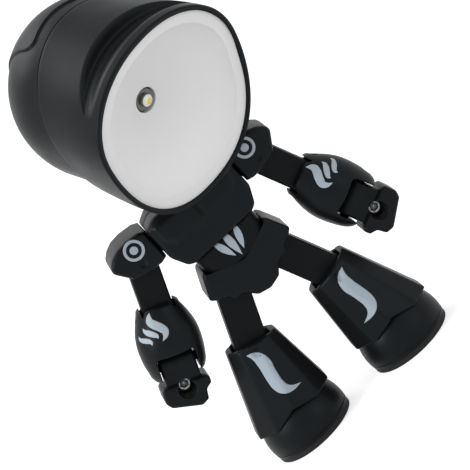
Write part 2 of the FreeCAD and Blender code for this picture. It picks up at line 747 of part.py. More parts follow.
def make_pelvis(s):
    """Pelvis: a V topped block with a slot for each thigh."""
    body = new_body("pelvis")
    wide, hip = s.pelvis_half_width, s.hip_height
    half = [(0, s.crotch_height), (4.6, s.crotch_height + 1.2), (7, s.crotch_height + 4.1),
            (10, s.crotch_height + 6.1), (wide - 1.3, hip - 1.2), (wide, hip),
            (wide - 3.4, s.pelvis_top - 1.3), (wide - 4.6, s.pelvis_top), (0, s.pelvis_dip)]
    points = half + [(-x, z) for x, z in reversed(half[1:-1])]
    pad(body, polygon(body, "XZ_Plane", points), s.pelvis_half_depth * 2)
    faces = number(s.pelvis_half_depth)
    fillet(body, 1.5, lambda edge: on_plane(Y, -99, -faces + 0.1)(edge)
           or on_plane(Y, faces - 0.1, 99)(edge))
    cut_belly_seat(s, body)
    for _, side in SIDES:
        cut_thigh_slot(s, body, side)
    pocket(body, circles(body, "XY_Plane", [(0, 0)], 1.3, s.crotch_height - 5), 30.0, False, True)
    pocket(body, circles(body, "XY_Plane", [(0, 0)], 2.5, s.crotch_height - 5), 9.0, False, True)


def cut_belly_seat(s, body):
    """Pocket in the pelvis that the belly stands in."""
    wide, deep = s.belly_half_width + 0.1, s.belly_half_depth + 0.1
    corners = [(-wide, -deep), (wide, -deep), (wide, deep), (-wide, deep)]
    pocket(body, polygon(body, "XY_Plane", corners, s.pelvis_dip - BELLY_SINK), 20.0, False, True)


def cut_thigh_slot(s, body, side):
    """Slot that the thigh swings in, with a bore for the hip pin."""
    reach = s.thigh_half_width + s.fit_gap
    x, z = s.hip_x, s.hip_z
    low = s.crotch_height - 6
    points = mirrored([(x - reach - 2.0, low), (x - reach - 0.2, z), (x + reach + 0.2, z),
                       (x + reach + 4.0, z - 1.0), (x + reach + 12, low)], side)
    deep = (s.thigh_half_depth + s.fit_gap) * 2
    pocket(body, polygon(body, "XZ_Plane", points), deep)
    pocket(body, circles(body, "XZ_Plane", [(side * x, z)], reach + 0.2), deep)
    pocket(body, circles(body, "XZ_Plane", [(side * x, z)], s.pin_radius), 40.0)


def make_waist_screw(s):
    low = s.crotch_height.value + 4.0
    shank = Part.makeCylinder(1.0, 14.0, Vector(0, 0, low))
    cap = Part.makeCylinder(2.3, 1.6, Vector(0, 0, low - 1.6))
    solid_part("waist_screw", shank.fuse(cap))


# Arms. The arm frame hangs from the arm pivot: Z runs up the arm and Y to the back.

def arm_frame(s, side, down=0.0):
    """Placement of the arm frame, or of a point down the arm."""
    rotation = Rotation(Y, -side * s.arm_splay.value)
    base = Vector(side * s.shoulder_x.value, 0, s.shoulder_z.value)
    return FreeCAD.Placement(base + rotation.multVec(Vector(0, 0, -down)), rotation)


def make_shoulder_pad(s, name, side):
    """Rounded shoulder cap with a peg that turns in the chest."""
    body = new_body("shoulder_pad_" + name)
    x, z, inner = s.shoulder_x, s.shoulder_z, s.chest_half_width + s.fit_gap
    points = mirrored([
        (inner, z - 3.8), (inner + 2.6, z - 4.5), (x + 2.7, z - 3.8), (x + 5.7, z - 2.2),
        (x + 9.2, z + 3.2), (x + 9.4, z + 4.3), (x + 8.7, z + 5.8), (x + 6.7, z + 7.5),
        (x + 3.7, z + 8.8), (x - 0.3, z + 9.1), (x - 5.3, z + 8.5), (inner, z + 7.4)], side)
    pad(body, polygon(body, "XZ_Plane", points), s.pad_half_depth * 2)
    face = number(s.pad_half_depth)
    fillet(body, 1.6, lambda edge: on_plane(Y, -99, -face + 0.1)(edge)
           or on_plane(Y, face - 0.1, 99)(edge))
    reach = s.arm_half_width + s.fit_gap
    slot = mirrored([(x - reach, z - 9), (x - reach, z + 2), (x - 3.4, z + reach - 0.6),
                     (x, z + reach + 0.2), (x + 3.6, z + reach - 0.6), (x + 14, z + reach - 3),
                     (x + 14, z - 9)], side)
    pocket(body, polygon(body, "XZ_Plane", slot), (s.arm_half_depth + s.fit_gap) * 2)
    pocket(body, circles(body, "XZ_Plane", [(side * x, z)], s.pin_radius), 40.0)
    start = s.chest_half_width - 3.0
    peg = circles(body, "YZ_Plane", [(0, z)], 3.0, side * start)
    pad(body, peg, 4.0, False, side < 0)
    head = circles(body, "YZ_Plane", [(0, z)], 4.5, side * (start - 1.6))
    pad(body, head, 1.6, False, side < 0)
    span = 2 * s.pad_half_depth - 1.0
    pin_part("shoulder_pin_" + name, s.pin_radius, span, Vector(side * x.value, 0, z.value), Y)


def limb_bar(label, half_width, half_depth, length):
    """A flat bar with rounded ends."""
    body = new_body(label)
    wide = half_width
    points = [(-wide, 0), (-wide * 0.72, wide * 0.72), (0, wide), (wide * 0.72, wide * 0.72),
              (wide, 0), (wide, -length), (wide * 0.72, -length - wide * 0.72), (0, -length - wide),
              (-wide * 0.72, -length - wide * 0.72), (-wide, -length)]
    pad(body, polygon(body, "XZ_Plane", points), half_depth * 2)
    face = number(half_depth)
    fillet(body, 1.0, lambda edge: on_plane(Y, -99, -face + 0.1)(edge)
           or on_plane(Y, face - 0.1, 99)(edge))
    return body


def make_upper_arm(s, name, side):
    body = limb_bar("upper_arm_" + name, s.arm_half_width, s.arm_half_depth, s.arm_length)
    bore = s.pin_radius + s.pin_play
    pocket(body, circles(body, "XZ_Plane", [(0, 0)], bore), s.arm_half_depth * 3)
    pocket(body, circles(body, "YZ_Plane", [(0, -s.arm_length)], bore), s.arm_half_width * 3)
    body.Placement = arm_frame(s, side)


def cuff_profile(s):
    """Half outline of the gauntlet, radius and height above the elbow pivot."""
    wide, top, low = s.cuff_radius.value, s.cuff_top_radius.value, s.cuff_length.value
    return ((top - 0.8, 2.8), (top, 2.1), (wide * 0.83, -2.4), (wide * 0.955, -6.6),
            (wide, -low * 0.55), (wide * 0.965, -low * 0.74), (wide * 0.87, -low * 0.93),
            (wide * 0.78, -low))


def make_gauntlet(s, name, side):
    """Barrel shaped forearm: an elbow pocket above, and two cheeks that flank the hand."""
    points = [Vector(radius, 0, z) for radius, z in cuff_profile(s)]
    curve = Part.BSplineCurve()
    curve.interpolate(points[1:])
    edges = [Part.makeLine(Vector(0, 0, points[0].z), points[0]), Part.makeLine(points[0], points[1]),
             curve.toShape(), Part.makeLine(points[-1], Vector(0, 0, points[-1].z)),
             Part.makeLine(Vector(0, 0, points[-1].z), Vector(0, 0, points[0].z))]
    barrel = Part.Face(Part.Wire(edges)).revolve(Vector(), Z, 360)
    gap = s.fit_gap.value
    half_w, half_d = s.arm_half_width.value + 0.6, s.arm_half_depth.value + 1.2
    floor = math.hypot(s.arm_half_width.value, s.arm_half_depth.value) + 0.5
    elbow = Part.makeBox(2 * half_w, 2 * half_d, 20, Vector(-half_w, -half_d, -floor))
    cheek = s.hand_half_width.value - 2.0 + gap
    gate = Part.makeBox(2 * cheek, 40, 24.9, Vector(-cheek, -20, -s.wrist_drop.value - 20))
    arch = gate.makeFillet(1.4, [edge for edge in gate.Edges
                                 if along(Y)(edge) and edge.CenterOfMass.z > -s.wrist_drop.value])
    pin = s.pin_radius.value
    bores = Part.makeCylinder(pin, 40, Vector(-20, 0, 0), X).fuse(
        Part.makeCylinder(pin, 40, Vector(-20, 0, -s.wrist_drop.value), X))
    shape = barrel.cut(elbow).cut(arch).cut(bores)
    frame = arm_frame(s, side, s.arm_length.value)
    solid_part("gauntlet_" + name, shape, frame)
    pin_part("elbow_pin_" + name, s.pin_radius, 2 * half_w + 3.0, Vector(), X, frame)
    wrist = Vector(0, 0, -s.wrist_drop.value)
    pin_part("wrist_pin_" + name, s.pin_radius, 2 * s.cuff_radius.value - 4.0, wrist, X, frame)


HAND_SHOULDER = 6.2


def make_hand(s, name, side):
    """Block fist on a tongue, with a thumb step and a hole through the grip."""
    body = new_body("hand_" + name)
    wide, low = s.hand_half_width, s.hand_length
    top = -HAND_SHOULDER
    outer = [(-wide + 0.8, top), (-wide, top - 0.8), (-wide, -low + 3.4), (-wide + 1.6, -low + 1.4),
             (wide - 5.2, -low - 1.2), (wide - 2.6, -low + 0.2), (wide - 2.2, -low + 3.6),
             (wide, -low + 5.2), (wide, top - 0.8), (wide - 0.8, top)]
    points = [(-side * x, z) for x, z in outer]
    pad(body, polygon(body, "XZ_Plane", points), s.hand_half_depth * 2)
    face = number(s.hand_half_depth)
    fillet(body, 1.2, lambda edge: on_plane(Y, -99, -face + 0.1)(edge)
           or on_plane(Y, face - 0.1, 99)(edge))
    tongue = wide - 2.3
    stem = [(-tongue, -4.0), (tongue, -4.0), (tongue, 4.0), (-tongue, 4.0)]
    pad(body, polygon(body, "XY_Plane", stem, top - 1.0), HAND_SHOULDER + 1.0, False)
    pad(body, circles(body, "YZ_Plane", [(0, 0)], 4.4), tongue * 2)
    pocket(body, circles(body, "XZ_Plane", [(0, -8.6)], s.grip_radius), 40.0)
    pocket(body, circles(body, "YZ_Plane", [(0, 0)], s.pin_radius + s.pin_play), 40.0)
    body.Placement = arm_frame(s, side, s.arm_length.value + s.wrist_drop.value)


# Legs

def knee_point(s, side):
    lean = math.radians(s.leg_splay.value)
    reach = s.thigh_length.value
    return Vector(side * (s.hip_x.value + math.sin(lean) * reach), 0,
                  s.hip_z.value - math.cos(lean) * reach)


def ankle_point(s, side):
    return Vector(side * s.foot_x.value, 0, s.ankle_height.value)


def make_thigh(s, name, side):
    body = limb_bar("thigh_" + name, s.thigh_half_width, s.thigh_half_depth, s.thigh_length)
    ends = [(0, 0), (0, -s.thigh_length)]
    pocket(body, circles(body, "XZ_Plane", ends, s.pin_radius + s.pin_play), s.thigh_half_depth * 3)
    base = Vector(side * s.hip_x.value, 0, s.hip_z.value)
    body.Placement = FreeCAD.Placement(base, Rotation(Y, -side * s.leg_splay.value))
    pin_part("hip_pin_" + name, s.pin_radius, 2 * s.pelvis_half_depth - 1.0, base, Y)


def boot_section(side, middle, half, depth, ridge, height, slope):
    """One cross-section of the boot: flat flanks, two front facets that meet in a ridge."""
    plan = ((half, -depth * 0.35), (half, depth * 0.35), (half * 0.62, depth * 0.86), (0, depth),
            (-half * 0.62, depth * 0.86), (-half, depth * 0.35), (-half, -depth * 0.35),
            (-half * 0.62, -depth * 0.8), (-0.03 * half, -ridge), (half * 0.62, -depth * 0.8))
    corners = [Vector(side * (middle + x), y, height + x * slope) for x, y in plan]
    return Part.makePolygon(corners + corners[:1])


def make_boot(s, name, side):
    """Flared boot: loft from hem to slanted collar, seat for the foot's ball, ankle post."""
    hem, top = s.boot_hem.value, s.boot_top.value
    half, foot = s.boot_hem_half.value, ankle_point(s, side)
    slope = math.tan(math.radians(s.boot_collar_slope.value))
    low = boot_section(side, s.foot_x.value + 0.1, half, half * 0.93, half * 1.02, hem - 0.6, 0)
    high = boot_section(side, s.boot_collar_x.value, s.boot_collar_half.value,
                        s.boot_collar_depth.value, s.boot_collar_depth.value * 1.08, top, slope)
    boot = Part.makeLoft([low, high], True, True)
    boot = boot.makeFillet(1.0, [edge for edge in boot.Edges if edge.BoundBox.ZLength > 12])
    notch = s.boot_hem_rise.value
    cut = [Vector(side * s.foot_x.value - half * 0.75, -40, hem - 2),
           Vector(side * s.foot_x.value, -40, hem + notch),
           Vector(side * s.foot_x.value + half * 0.75, -40, hem - 2)]
    wedge = Part.Face(Part.makePolygon(cut + cut[:1])).extrude(Vector(0, 80, 0))
    boot = boot.cut(wedge)
    ball = Part.makeSphere(s.foot_radius.value + s.fit_gap.value, foot)
    knee = knee_point(s, side)
    reach = s.thigh_half_width.value + 0.6
    lean = Rotation(Y, -side * s.leg_splay.value)
    slot_half = s.thigh_half_depth.value + s.fit_gap.value
    socket = Part.makeCylinder(reach, 2 * slot_half, Vector(0, -slot_half, 0), Y)
    shaft = Part.makeBox(2 * reach, 2 * slot_half, 30, Vector(-reach, -slot_half, 0))
    tools = []
    for swing in (-9, 0, 9):
        tool = socket.fuse(shaft)
        tool.Placement = FreeCAD.Placement(knee, lean.multiply(Rotation(Y, swing)))
        tools.append(tool)
    boot = boot.cut(ball).cut(tools[0].fuse(tools[1:]))
    post = Part.makeCylinder(3.6, foot.z + s.foot_radius.value + 2, Vector(foot.x, 0, foot.z))
    post = post.common(Part.makeBox(7.2, 6.4, 60, Vector(foot.x - 3.6, -3.2, foot.z - 10)))
    eye = Part.makeCylinder(2.5, 6.4, Vector(foot.x, -3.2, foot.z), Y)
    neck = Part.makeBox(5.0, 6.4, 6, Vector(foot.x - 2.5, -3.2, foot.z))
    boot = boot.fuse([post.cut(Part.makeBox(20, 20, 5, foot - Vector(10, 10, 0))), eye, neck])
    pins = Part.makeCylinder(s.pin_radius.value, 60, knee - Y * 30, Y).fuse(
        Part.makeCylinder(s.ankle_pin.value + s.pin_play.value, 60, foot - Y * 30, Y))
    solid_part("boot_" + name, boot.cut(pins))
    pin_part("knee_pin_" + name, s.pin_radius, 2 * s.boot_collar_depth.value - 1.0, knee, Y)


def make_foot(s, name, side):
    """Ball shaped foot, cut flat, with a slot for the ankle post and a sole plate."""
    foot = ankle_point(s, side)
    sole, radius = s.sole_thick.value, s.foot_radius.value
    ball = Part.makeSphere(radius, foot)
    above = Part.makeBox(60, 60, 60, Vector(foot.x - 30, -30, sole))
    shell = ball.common(above)
    groove_z = sole + 1.2
    ring = Part.makeTorus(math.sqrt(radius ** 2 - (foot.z - groove_z) ** 2) + 0.1, 0.35,
                          Vector(foot.x, 0, groove_z))
    well = Part.makeBox(12.4, 7.2, 40, Vector(foot.x - 6.2, -3.6, sole))
    wide = Part.makeCone(5.0, 12.0, 16.0, Vector(foot.x, 0, foot.z + 4))
    wide = wide.common(Part.makeBox(40, 7.2, 60, Vector(foot.x - 20, -3.6, sole)))
    pin = Part.makeCylinder(s.ankle_pin.value, 20, Vector(foot.x, -10, foot.z), Y)
    shell = shell.cut(ring).cut(well.fuse(wide)).cut(pin)
    solid_part("foot_" + name, shell)
    pin_part("ankle_pin_" + name, s.ankle_pin, 20.0, foot, Y)
    rim = math.sqrt(radius ** 2 - (foot.z - sole) ** 2)
    plate = Part.makeCylinder(rim - 0.1, sole, Vector(foot.x, 0, 0))
    plate = plate.makeFillet(0.5, [edge for edge in plate.Edges if on_plane(Z, -0.1, 0.1)(edge)])
    solid_part("sole_" + name, plate)


def check_and_export(s):
    """Refuse a failed or empty object, then write each sub-part to its own STEP file."""
    DOC.recompute()
    for item in DOC.Objects:
        if "Invalid" in item.State or "Error" in item.State:
            raise RuntimeError("%s failed: %s" % (item.Label, item.State))
    kinds = ("PartDesign::Body", "Part::Feature", "Part::Cylinder")
    parts = [item for item in DOC.Objects if item.TypeId in kinds]
    for item in parts:
        if item.Shape.isNull() or not item.Shape.isValid() or len(item.Shape.Solids) != 1:
            raise RuntimeError("%s isn't one valid solid: %d" % (item.Label, len(item.Shape.Solids)))
    os.makedirs("parts", exist_ok=True)
    centred = FreeCAD.Placement(Y * s.stand_back.value, Rotation())
    for item in parts:
        shape = item.Shape.copy()
        shape.Placement = centred.multiply(shape.Placement)
        shape.exportStep("parts/%s.step" % item.Label)
    print("%d parts written" % len(parts))


def build_head(s):
    placement = head_placement(s)
    for make in (make_front_shell, make_rear_shell, make_reflector, make_emitter, make_door,
                 make_batteries, make_button, make_head_screws):
        make(s, placement)


def build_torso(s):
    make_neck(s)
    make_chest(s)
    make_chest_screws()
    make_belly(s)
    make_pelvis(s)
    make_waist_screw(s)


def build_limbs(s):
    for name, side in SIDES:
        for make in (make_shoulder_pad, make_upper_arm, make_gauntlet, make_hand,
                     make_thigh, make_boot, make_foot):
            make(s, name, side)


def main():
    sizes = Sizes()
    build_head(sizes)
    build_torso(sizes)
    build_limbs(sizes)
    check_and_export(sizes)


if __name__ == "__main__":
    main()
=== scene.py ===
"""Looks for a robot shaped desk lamp: moulded black shells, a white bowl and printed marks."""

import json
import logging
import math
from dataclasses import dataclass, field
from enum import Enum

import bmesh
import bpy
import numpy as np
from mathutils import Euler, Matrix, Vector

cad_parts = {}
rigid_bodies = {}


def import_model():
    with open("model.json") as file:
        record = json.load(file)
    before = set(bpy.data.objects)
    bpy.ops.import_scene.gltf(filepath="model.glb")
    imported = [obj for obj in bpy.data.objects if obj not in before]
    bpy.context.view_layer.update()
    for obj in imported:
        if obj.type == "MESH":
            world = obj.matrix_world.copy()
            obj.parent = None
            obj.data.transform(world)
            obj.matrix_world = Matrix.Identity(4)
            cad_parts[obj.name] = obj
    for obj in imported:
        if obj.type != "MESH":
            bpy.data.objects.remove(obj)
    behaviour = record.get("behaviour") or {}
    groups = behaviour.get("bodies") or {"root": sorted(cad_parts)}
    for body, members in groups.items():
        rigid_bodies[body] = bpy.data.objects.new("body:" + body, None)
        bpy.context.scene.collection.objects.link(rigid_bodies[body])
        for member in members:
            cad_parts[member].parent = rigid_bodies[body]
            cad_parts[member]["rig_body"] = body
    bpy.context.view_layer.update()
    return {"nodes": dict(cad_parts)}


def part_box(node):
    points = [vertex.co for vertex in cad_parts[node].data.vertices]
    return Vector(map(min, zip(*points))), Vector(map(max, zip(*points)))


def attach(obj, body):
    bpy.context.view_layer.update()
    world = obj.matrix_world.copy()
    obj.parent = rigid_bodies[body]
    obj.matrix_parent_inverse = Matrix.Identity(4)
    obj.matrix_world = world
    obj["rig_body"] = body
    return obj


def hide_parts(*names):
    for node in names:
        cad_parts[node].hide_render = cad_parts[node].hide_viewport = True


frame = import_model()

LOG = logging.getLogger("desk_lamp")
MM = 0.001

# How far back the torso's axis is: the middle of the soles, front to back.
TORSO_Y = sum(corner.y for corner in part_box("sole_left")) / 2
# The middle of the head's rim and the turn of the lamp axis, as the CAD has them.
HEAD_PLACE = (16.502 * MM, -37.064 * MM + TORSO_Y, 119.692 * MM)
HEAD_TURN = (math.radians(29), 0.0, math.radians(24))
# How far the photograph looks down, and how far its picture is rolled.
VIEW_RISE = math.radians(14)
IMAGE_ROLL = math.radians(43)

# Points nearer than this are one point, in mm: in a made grid, and in copied CAD meshes.
GRID_WELD = 0.002
CAD_WELD = 0.001

# The tint of the highlights on the black pieces.
COOL = (0.8, 0.92, 1.0)
# What every finish shares: the noise values between which its mottle grows, how much lighter
# the mottle is, what the mottle and each mark add to the roughness, and the bump and coat.
MOTTLE_FROM, MOTTLE_TO = 0.3, 0.7
MOTTLE_LIGHTER = 1.6
SMOOTHEST, ROUGHEST = -0.04, 0.05
SCUFF_ROUGHNESS = 0.25
DUST_ROUGHNESS = 0.3
BUMP_STRENGTH = 0.6
COAT_ROUGHNESS = 0.12


class Side(Enum):
    """The robot's own left or right; the value is the sign of X there."""

    LEFT = 1
    RIGHT = -1

    @property
    def word(self) -> str:
        """The ending of the node and body names on this side."""
        return self.name.lower()


class Wiring:
    """Places shader nodes in one tree and joins them."""

    # The Mix node's sockets for colours, by number, because their names repeat.
    MIX_FACTOR, MIX_DARK, MIX_LIGHT, MIX_RESULT = 0, 6, 7, 2

    def __init__(self, tree: bpy.types.NodeTree) -> None:
        """Keeps the tree that the nodes go into."""
        self.tree = tree

    def add(self, kind: str, **settings: object) -> bpy.types.Node:
        """Places a node.

        Args:
            kind: the node's type, without its ShaderNode beginning.
            settings: attributes to set on the node.

        Returns:
            The new node.
        """
        node = self.tree.nodes.new("ShaderNode" + kind)
        for name, value in settings.items():
            setattr(node, name, value)
        return node

    def feed(self, socket: bpy.types.NodeSocket, value: object) -> None:
        """Joins a socket to another one, or sets its plain value.

        Args:
            socket: the input that takes the value.
            value: an output socket, a number or a colour.
        """
        if isinstance(value, bpy.types.NodeSocket):
            self.tree.links.new(value, socket)
        else:
            socket.default_value = value

    def place(self) -> bpy.types.NodeSocket:
        """The point's place in the object's own frame, in metres."""
        return self.add("TexCoord").outputs["Object"]

    def maths(self, operation: str, first: object, second: object = 0.0,
              third: object = 0.0) -> bpy.types.NodeSocket:
        """A Math node's result.

        Args:
            operation: the name of the sum, such as MULTIPLY_ADD.
            first: a socket or a number.
            second: a socket or a number.
            third: a socket or a number.

        Returns:
            The output socket.
        """
        node = self.add("Math", operation=operation)
        for place, value in enumerate((first, second, third)):
            self.feed(node.inputs[place], value)
        return node.outputs[0]

    def spread(self, value: object, low: float, high: float, out_low: float,
               out_high: float) -> bpy.types.NodeSocket:
        """A clamped Map Range from low..high to out_low..out_high.

        Args:
            value: the socket to map.
            low: input at which the result is out_low.
            high: input at which the result is out_high.
            out_low: result at low.
            out_high: result at high.

        Returns:
            The output socket.
        """
        node = self.add("MapRange")
        for name, number in (("Value", value), ("From Min", low), ("From Max", high),
                             ("To Min", out_low), ("To Max", out_high)):
            self.feed(node.inputs[name], number)
        return node.outputs["Result"]

    def blend(self, mask: object, dark: object, light: object) -> bpy.types.NodeSocket:
        """Mixes two colours by a mask.

        Args:
            mask: 0 shows dark and 1 shows light.
            dark: a colour or a colour socket.
            light: a colour or a colour socket.

        Returns:
            The colour socket.
        """
        node = self.add("Mix", data_type="RGBA")
        self.feed(node.inputs[self.MIX_FACTOR], mask)
        self.feed(node.inputs[self.MIX_DARK], dark)
        self.feed(node.inputs[self.MIX_LIGHT], light)
        return node.outputs[self.MIX_RESULT]

    def noise(self, place: object, size_mm: float, detail: float = 3.0) -> bpy.types.NodeSocket:
        """A noise value between 0 and 1.

        Args:
            place: the coordinates' socket.
            size_mm: width of one lump of the noise.
            detail: how much finer noise is added.

        Returns:
            The value's socket.
        """
        node = self.add("TexNoise")
        self.feed(node.inputs["Vector"], place)
        node.inputs["Scale"].default_value = 1.0 / (size_mm * MM)
        node.inputs["Detail"].default_value = detail
        return node.outputs[0]


def rgba(red: float, green: float, blue: float) -> tuple[float, float, float, float]:
    """A linear colour with full cover."""
    return (red, green, blue, 1.0)


class SharedEffects:
    """The shader groups that more than one finish uses, each made once."""

    def __init__(self) -> None:
        """Makes the three groups."""
        self.grain = self.make_grain()
        self.handling = self.make_handling()
        self.dust = self.make_dust()

    @staticmethod
    def new_group(name: str, inputs: dict[str, float], outputs: tuple[str, ...]) -> tuple:
        """Starts a shader group.

        Args:
            name: the group's name.
            inputs: each input's name and usual number.
            outputs: the outputs' names.

        Returns:
            The group, its wiring, its input node and its output node.
        """
        group = bpy.data.node_groups.new(name, "ShaderNodeTree")
        for title, number in inputs.items():
            socket = group.interface.new_socket(title, in_out="INPUT",
                                                socket_type="NodeSocketFloat")
            socket.default_value = number
        for title in outputs:
            group.interface.new_socket(title, in_out="OUTPUT", socket_type="NodeSocketFloat")
        start, end = group.nodes.new("NodeGroupInput"), group.nodes.new("NodeGroupOutput")
        return group, Wiring(group), start, end

    def make_grain(self) -> bpy.types.NodeTree:
        """Moulded grain: fine spark-eroded pits, and the slow mottle of flowing plastic.

        Returns:
            The group, whose Height is for a bump and whose Mottle is a plain noise.
        """
        group, wires, start, end = self.new_group(
            "moulded grain", {"Pits per metre": 3300.0, "Mottle per metre": 90.0},
            ("Height", "Mottle"))
        place = wires.place()
        layers = []
        for number, detail in enumerate((2.0, 4.0)):
            noise = wires.add("TexNoise")
            wires.feed(noise.inputs["Vector"], place)
            wires.feed(noise.inputs["Scale"], start.outputs[number])
            noise.inputs["Detail"].default_value = detail
            layers.append(noise.outputs[0])
        pits, slow = layers
        mottle_height = 0.6
        wires.feed(end.inputs["Height"], wires.maths("MULTIPLY_ADD", slow, mottle_height, pits))
        wires.feed(end.inputs["Mottle"], slow)
        return group

    def make_handling(self) -> bpy.types.NodeTree:
        """Hairline scuffs: the thin edges between long stretched cells, broken up by noise.

        Returns:
            The group, whose Scuffs is 0 where the surface is untouched.
        """
        group, wires, start, end = self.new_group(
            "handling scuffs", {"Cells per metre": 160.0, "Amount": 0.3}, ("Scuffs",))
        place = wires.place()
        stretch = wires.add("Mapping")
        wires.feed(stretch.inputs["Vector"], place)
        stretch.inputs["Rotation"].default_value = (0.4, 0.7, 0.2)
        stretch.inputs["Scale"].default_value = (1.0, 0.16, 0.5)
        cells = wires.add("TexVoronoi", feature="DISTANCE_TO_EDGE")
        wires.feed(cells.inputs["Vector"], stretch.outputs[0])
        wires.feed(cells.inputs["Scale"], start.outputs[0])
        line_width, gap_mm = 0.018, 5.0
        lines = wires.spread(cells.outputs["Distance"], 0.0, line_width, 1.0, 0.0)
        broken = wires.spread(wires.noise(place, gap_mm), 0.52, 0.68, 0.0, 1.0)
        mask = wires.maths("MULTIPLY", wires.maths("MULTIPLY", lines, broken), start.outputs[1])
        wires.feed(end.inputs["Scuffs"], mask)
        return group

    def make_dust(self) -> bpy.types.NodeTree:
        """Dust that settles where the surface faces up, in a fine speckle.

        Returns:
            The group, whose Dust is 0 where the surface is clean.
        """
        group, wires, start, end = self.new_group("settled dust", {"Amount": 0.2}, ("Dust",))
        place = wires.place()
        normal = wires.add("SeparateXYZ")
        wires.feed(normal.inputs[0], wires.add("NewGeometry").outputs["Normal"])
        upward = wires.spread(normal.outputs[2], 0.35, 1.0, 0.0, 1.0)
        speck_mm, patch_mm = 0.5, 14.0
        speckle = wires.spread(wires.noise(place, speck_mm, 2.0), 0.5, 0.75, 0.0, 1.0)
        patches = wires.spread(wires.noise(place, patch_mm), 0.35, 0.7, 0.2, 1.0)
        mask = wires.maths("MULTIPLY", wires.maths("MULTIPLY", upward, speckle), patches)
        wires.feed(end.inputs["Dust"], wires.maths("MULTIPLY", mask, start.outputs[0]))
        return group


@dataclass(frozen=True)
class Finish:
    """One surface finish: its colour, gloss, grain and the marks of use."""

    name: str
    colour: tuple[float, float, float]
    roughness: float
    grain_mm: float = 0.3
    grain_depth_mm: float = 0.012
    mottle_mm: float = 11.0
    mottle_share: float = 0.12
    scuffs: float = 0.25
    dust: float = 0.1
    dust_colour: tuple[float, float, float] = (0.2, 0.2, 0.19)
    metal: float = 0.0
    specular: float = 0.5
    coat: float = 0.0
    tint: tuple[float, float, float] = (1.0, 1.0, 1.0)

    def base_colour(self, wires: Wiring) -> object:
        """The colour before mottle and dust: plain here, a pattern in some finishes.

        Args:
            wires: where a finish with a pattern adds its nodes.

        Returns:
            A colour or a colour socket.
        """
        return rgba(*self.colour)

    def make(self, effects: SharedEffects) -> bpy.types.Material:
        """Builds the material.

        Args:
            effects: the shared shader groups.

        Returns:
            The material.
        """
        material = bpy.data.materials.new(self.name)
        material.use_nodes = True
        wires = Wiring(material.node_tree)
        shader = material.node_tree.nodes["Principled BSDF"]
        grain = wires.add("Group", node_tree=effects.grain)
        grain.inputs["Pits per metre"].default_value = 1.0 / (self.grain_mm * MM)
        grain.inputs["Mottle per metre"].default_value = 1.0 / (self.mottle_mm * MM)
        scuffs = wires.add("Group", node_tree=effects.handling)
        scuffs.inputs["Amount"].default_value = self.scuffs
        dust = wires.add("Group", node_tree=effects.dust)
        dust.inputs["Amount"].default_value = self.dust

        base = self.base_colour(wires)
        mottle = wires.spread(grain.outputs["Mottle"], MOTTLE_FROM, MOTTLE_TO, 0.0,
                              self.mottle_share)
        lighter = (min(1.0, part * MOTTLE_LIGHTER) for part in self.colour)
        base = wires.blend(mottle, base, rgba(*lighter))
        base = wires.blend(dust.outputs["Dust"], base, rgba(*self.dust_colour))
        wires.feed(shader.inputs["Base Color"], base)

        rough = wires.spread(grain.outputs["Mottle"], MOTTLE_FROM, MOTTLE_TO,
                             self.roughness + SMOOTHEST, self.roughness + ROUGHEST)
        rough = wires.maths("MULTIPLY_ADD", scuffs.outputs["Scuffs"], SCUFF_ROUGHNESS, rough)
        rough = wires.maths("MULTIPLY_ADD", dust.outputs["Dust"], DUST_ROUGHNESS, rough)
        wires.feed(shader.inputs["Roughness"], rough)

        bump = wires.add("Bump")
        bump.inputs["Distance"].default_value = self.grain_depth_mm * MM
        bump.inputs["Strength"].default_value = BUMP_STRENGTH
        wires.feed(bump.inputs["Height"], grain.outputs["Height"])
        wires.feed(shader.inputs["Normal"], bump.outputs[0])

        shader.inputs["Metallic"].default_value = self.metal
        shader.inputs["Specular IOR Level"].default_value = self.specular
        shader.inputs["Specular Tint"].default_value = rgba(*self.tint)
        shader.inputs["Coat Weight"].default_value = self.coat
        shader.inputs["Coat Roughness"].default_value = COAT_ROUGHNESS
        return material


@dataclass(frozen=True)
class HeadFinish(Finish):
    """A finish whose pattern is centred on the lamp axis."""

    def head_place(self, wires: Wiring) -> bpy.types.NodeSocket:
        """The place in the head's own frame.

        Returns:
            The coordinates' socket, in metres: Y runs back along the lamp axis.
        """
        mapping = wires.add("Mapping", vector_type="TEXTURE")
        wires.feed(mapping.inputs["Vector"], wires.place())
        mapping.inputs["Location"].default_value = HEAD_PLACE
        mapping.inputs["Rotation"].default_value = HEAD_TURN
        return mapping.outputs[0]

    def off_axis(self, wires: Wiring) -> bpy.types.NodeSocket:
        """How far a point is from the lamp axis.

        Returns:
            The distance's socket, in millimetres.
        """
        flat = wires.add("VectorMath", operation="MULTIPLY")
        wires.feed(flat.inputs[0], self.head_place(wires))
        flat.inputs[1].default_value = (1 / MM, 0.0, 1 / MM)
        length = wires.add("VectorMath", operation="LENGTH")
        wires.feed(length.inputs[0], flat.outputs[0])
        return length.outputs["Value"]


@dataclass(frozen=True)
class BowlFinish(HeadFinish):
    """Matte white moulding with painted shade: a touch greyer towards the emitter, down in the
    bowl.
    """

    # Painted shade: the colour turns greyer towards the hole round the emitter, out to where the
    # plain white starts.
    painted_shade_tone: tuple[float, float, float] = (0.8, 0.805, 0.8)
    full_shade_to_mm: float = 4.0
    plain_from_mm: float = 24.0

    def base_colour(self, wires: Wiring) -> object:
        """Blends from the painted shade tone at the hole to the plain white near the rim."""
        outwards = wires.spread(self.off_axis(wires), self.full_shade_to_mm, self.plain_from_mm,
                                0.0, 1.0)
        return wires.blend(outwards, rgba(*self.painted_shade_tone), rgba(*self.colour))


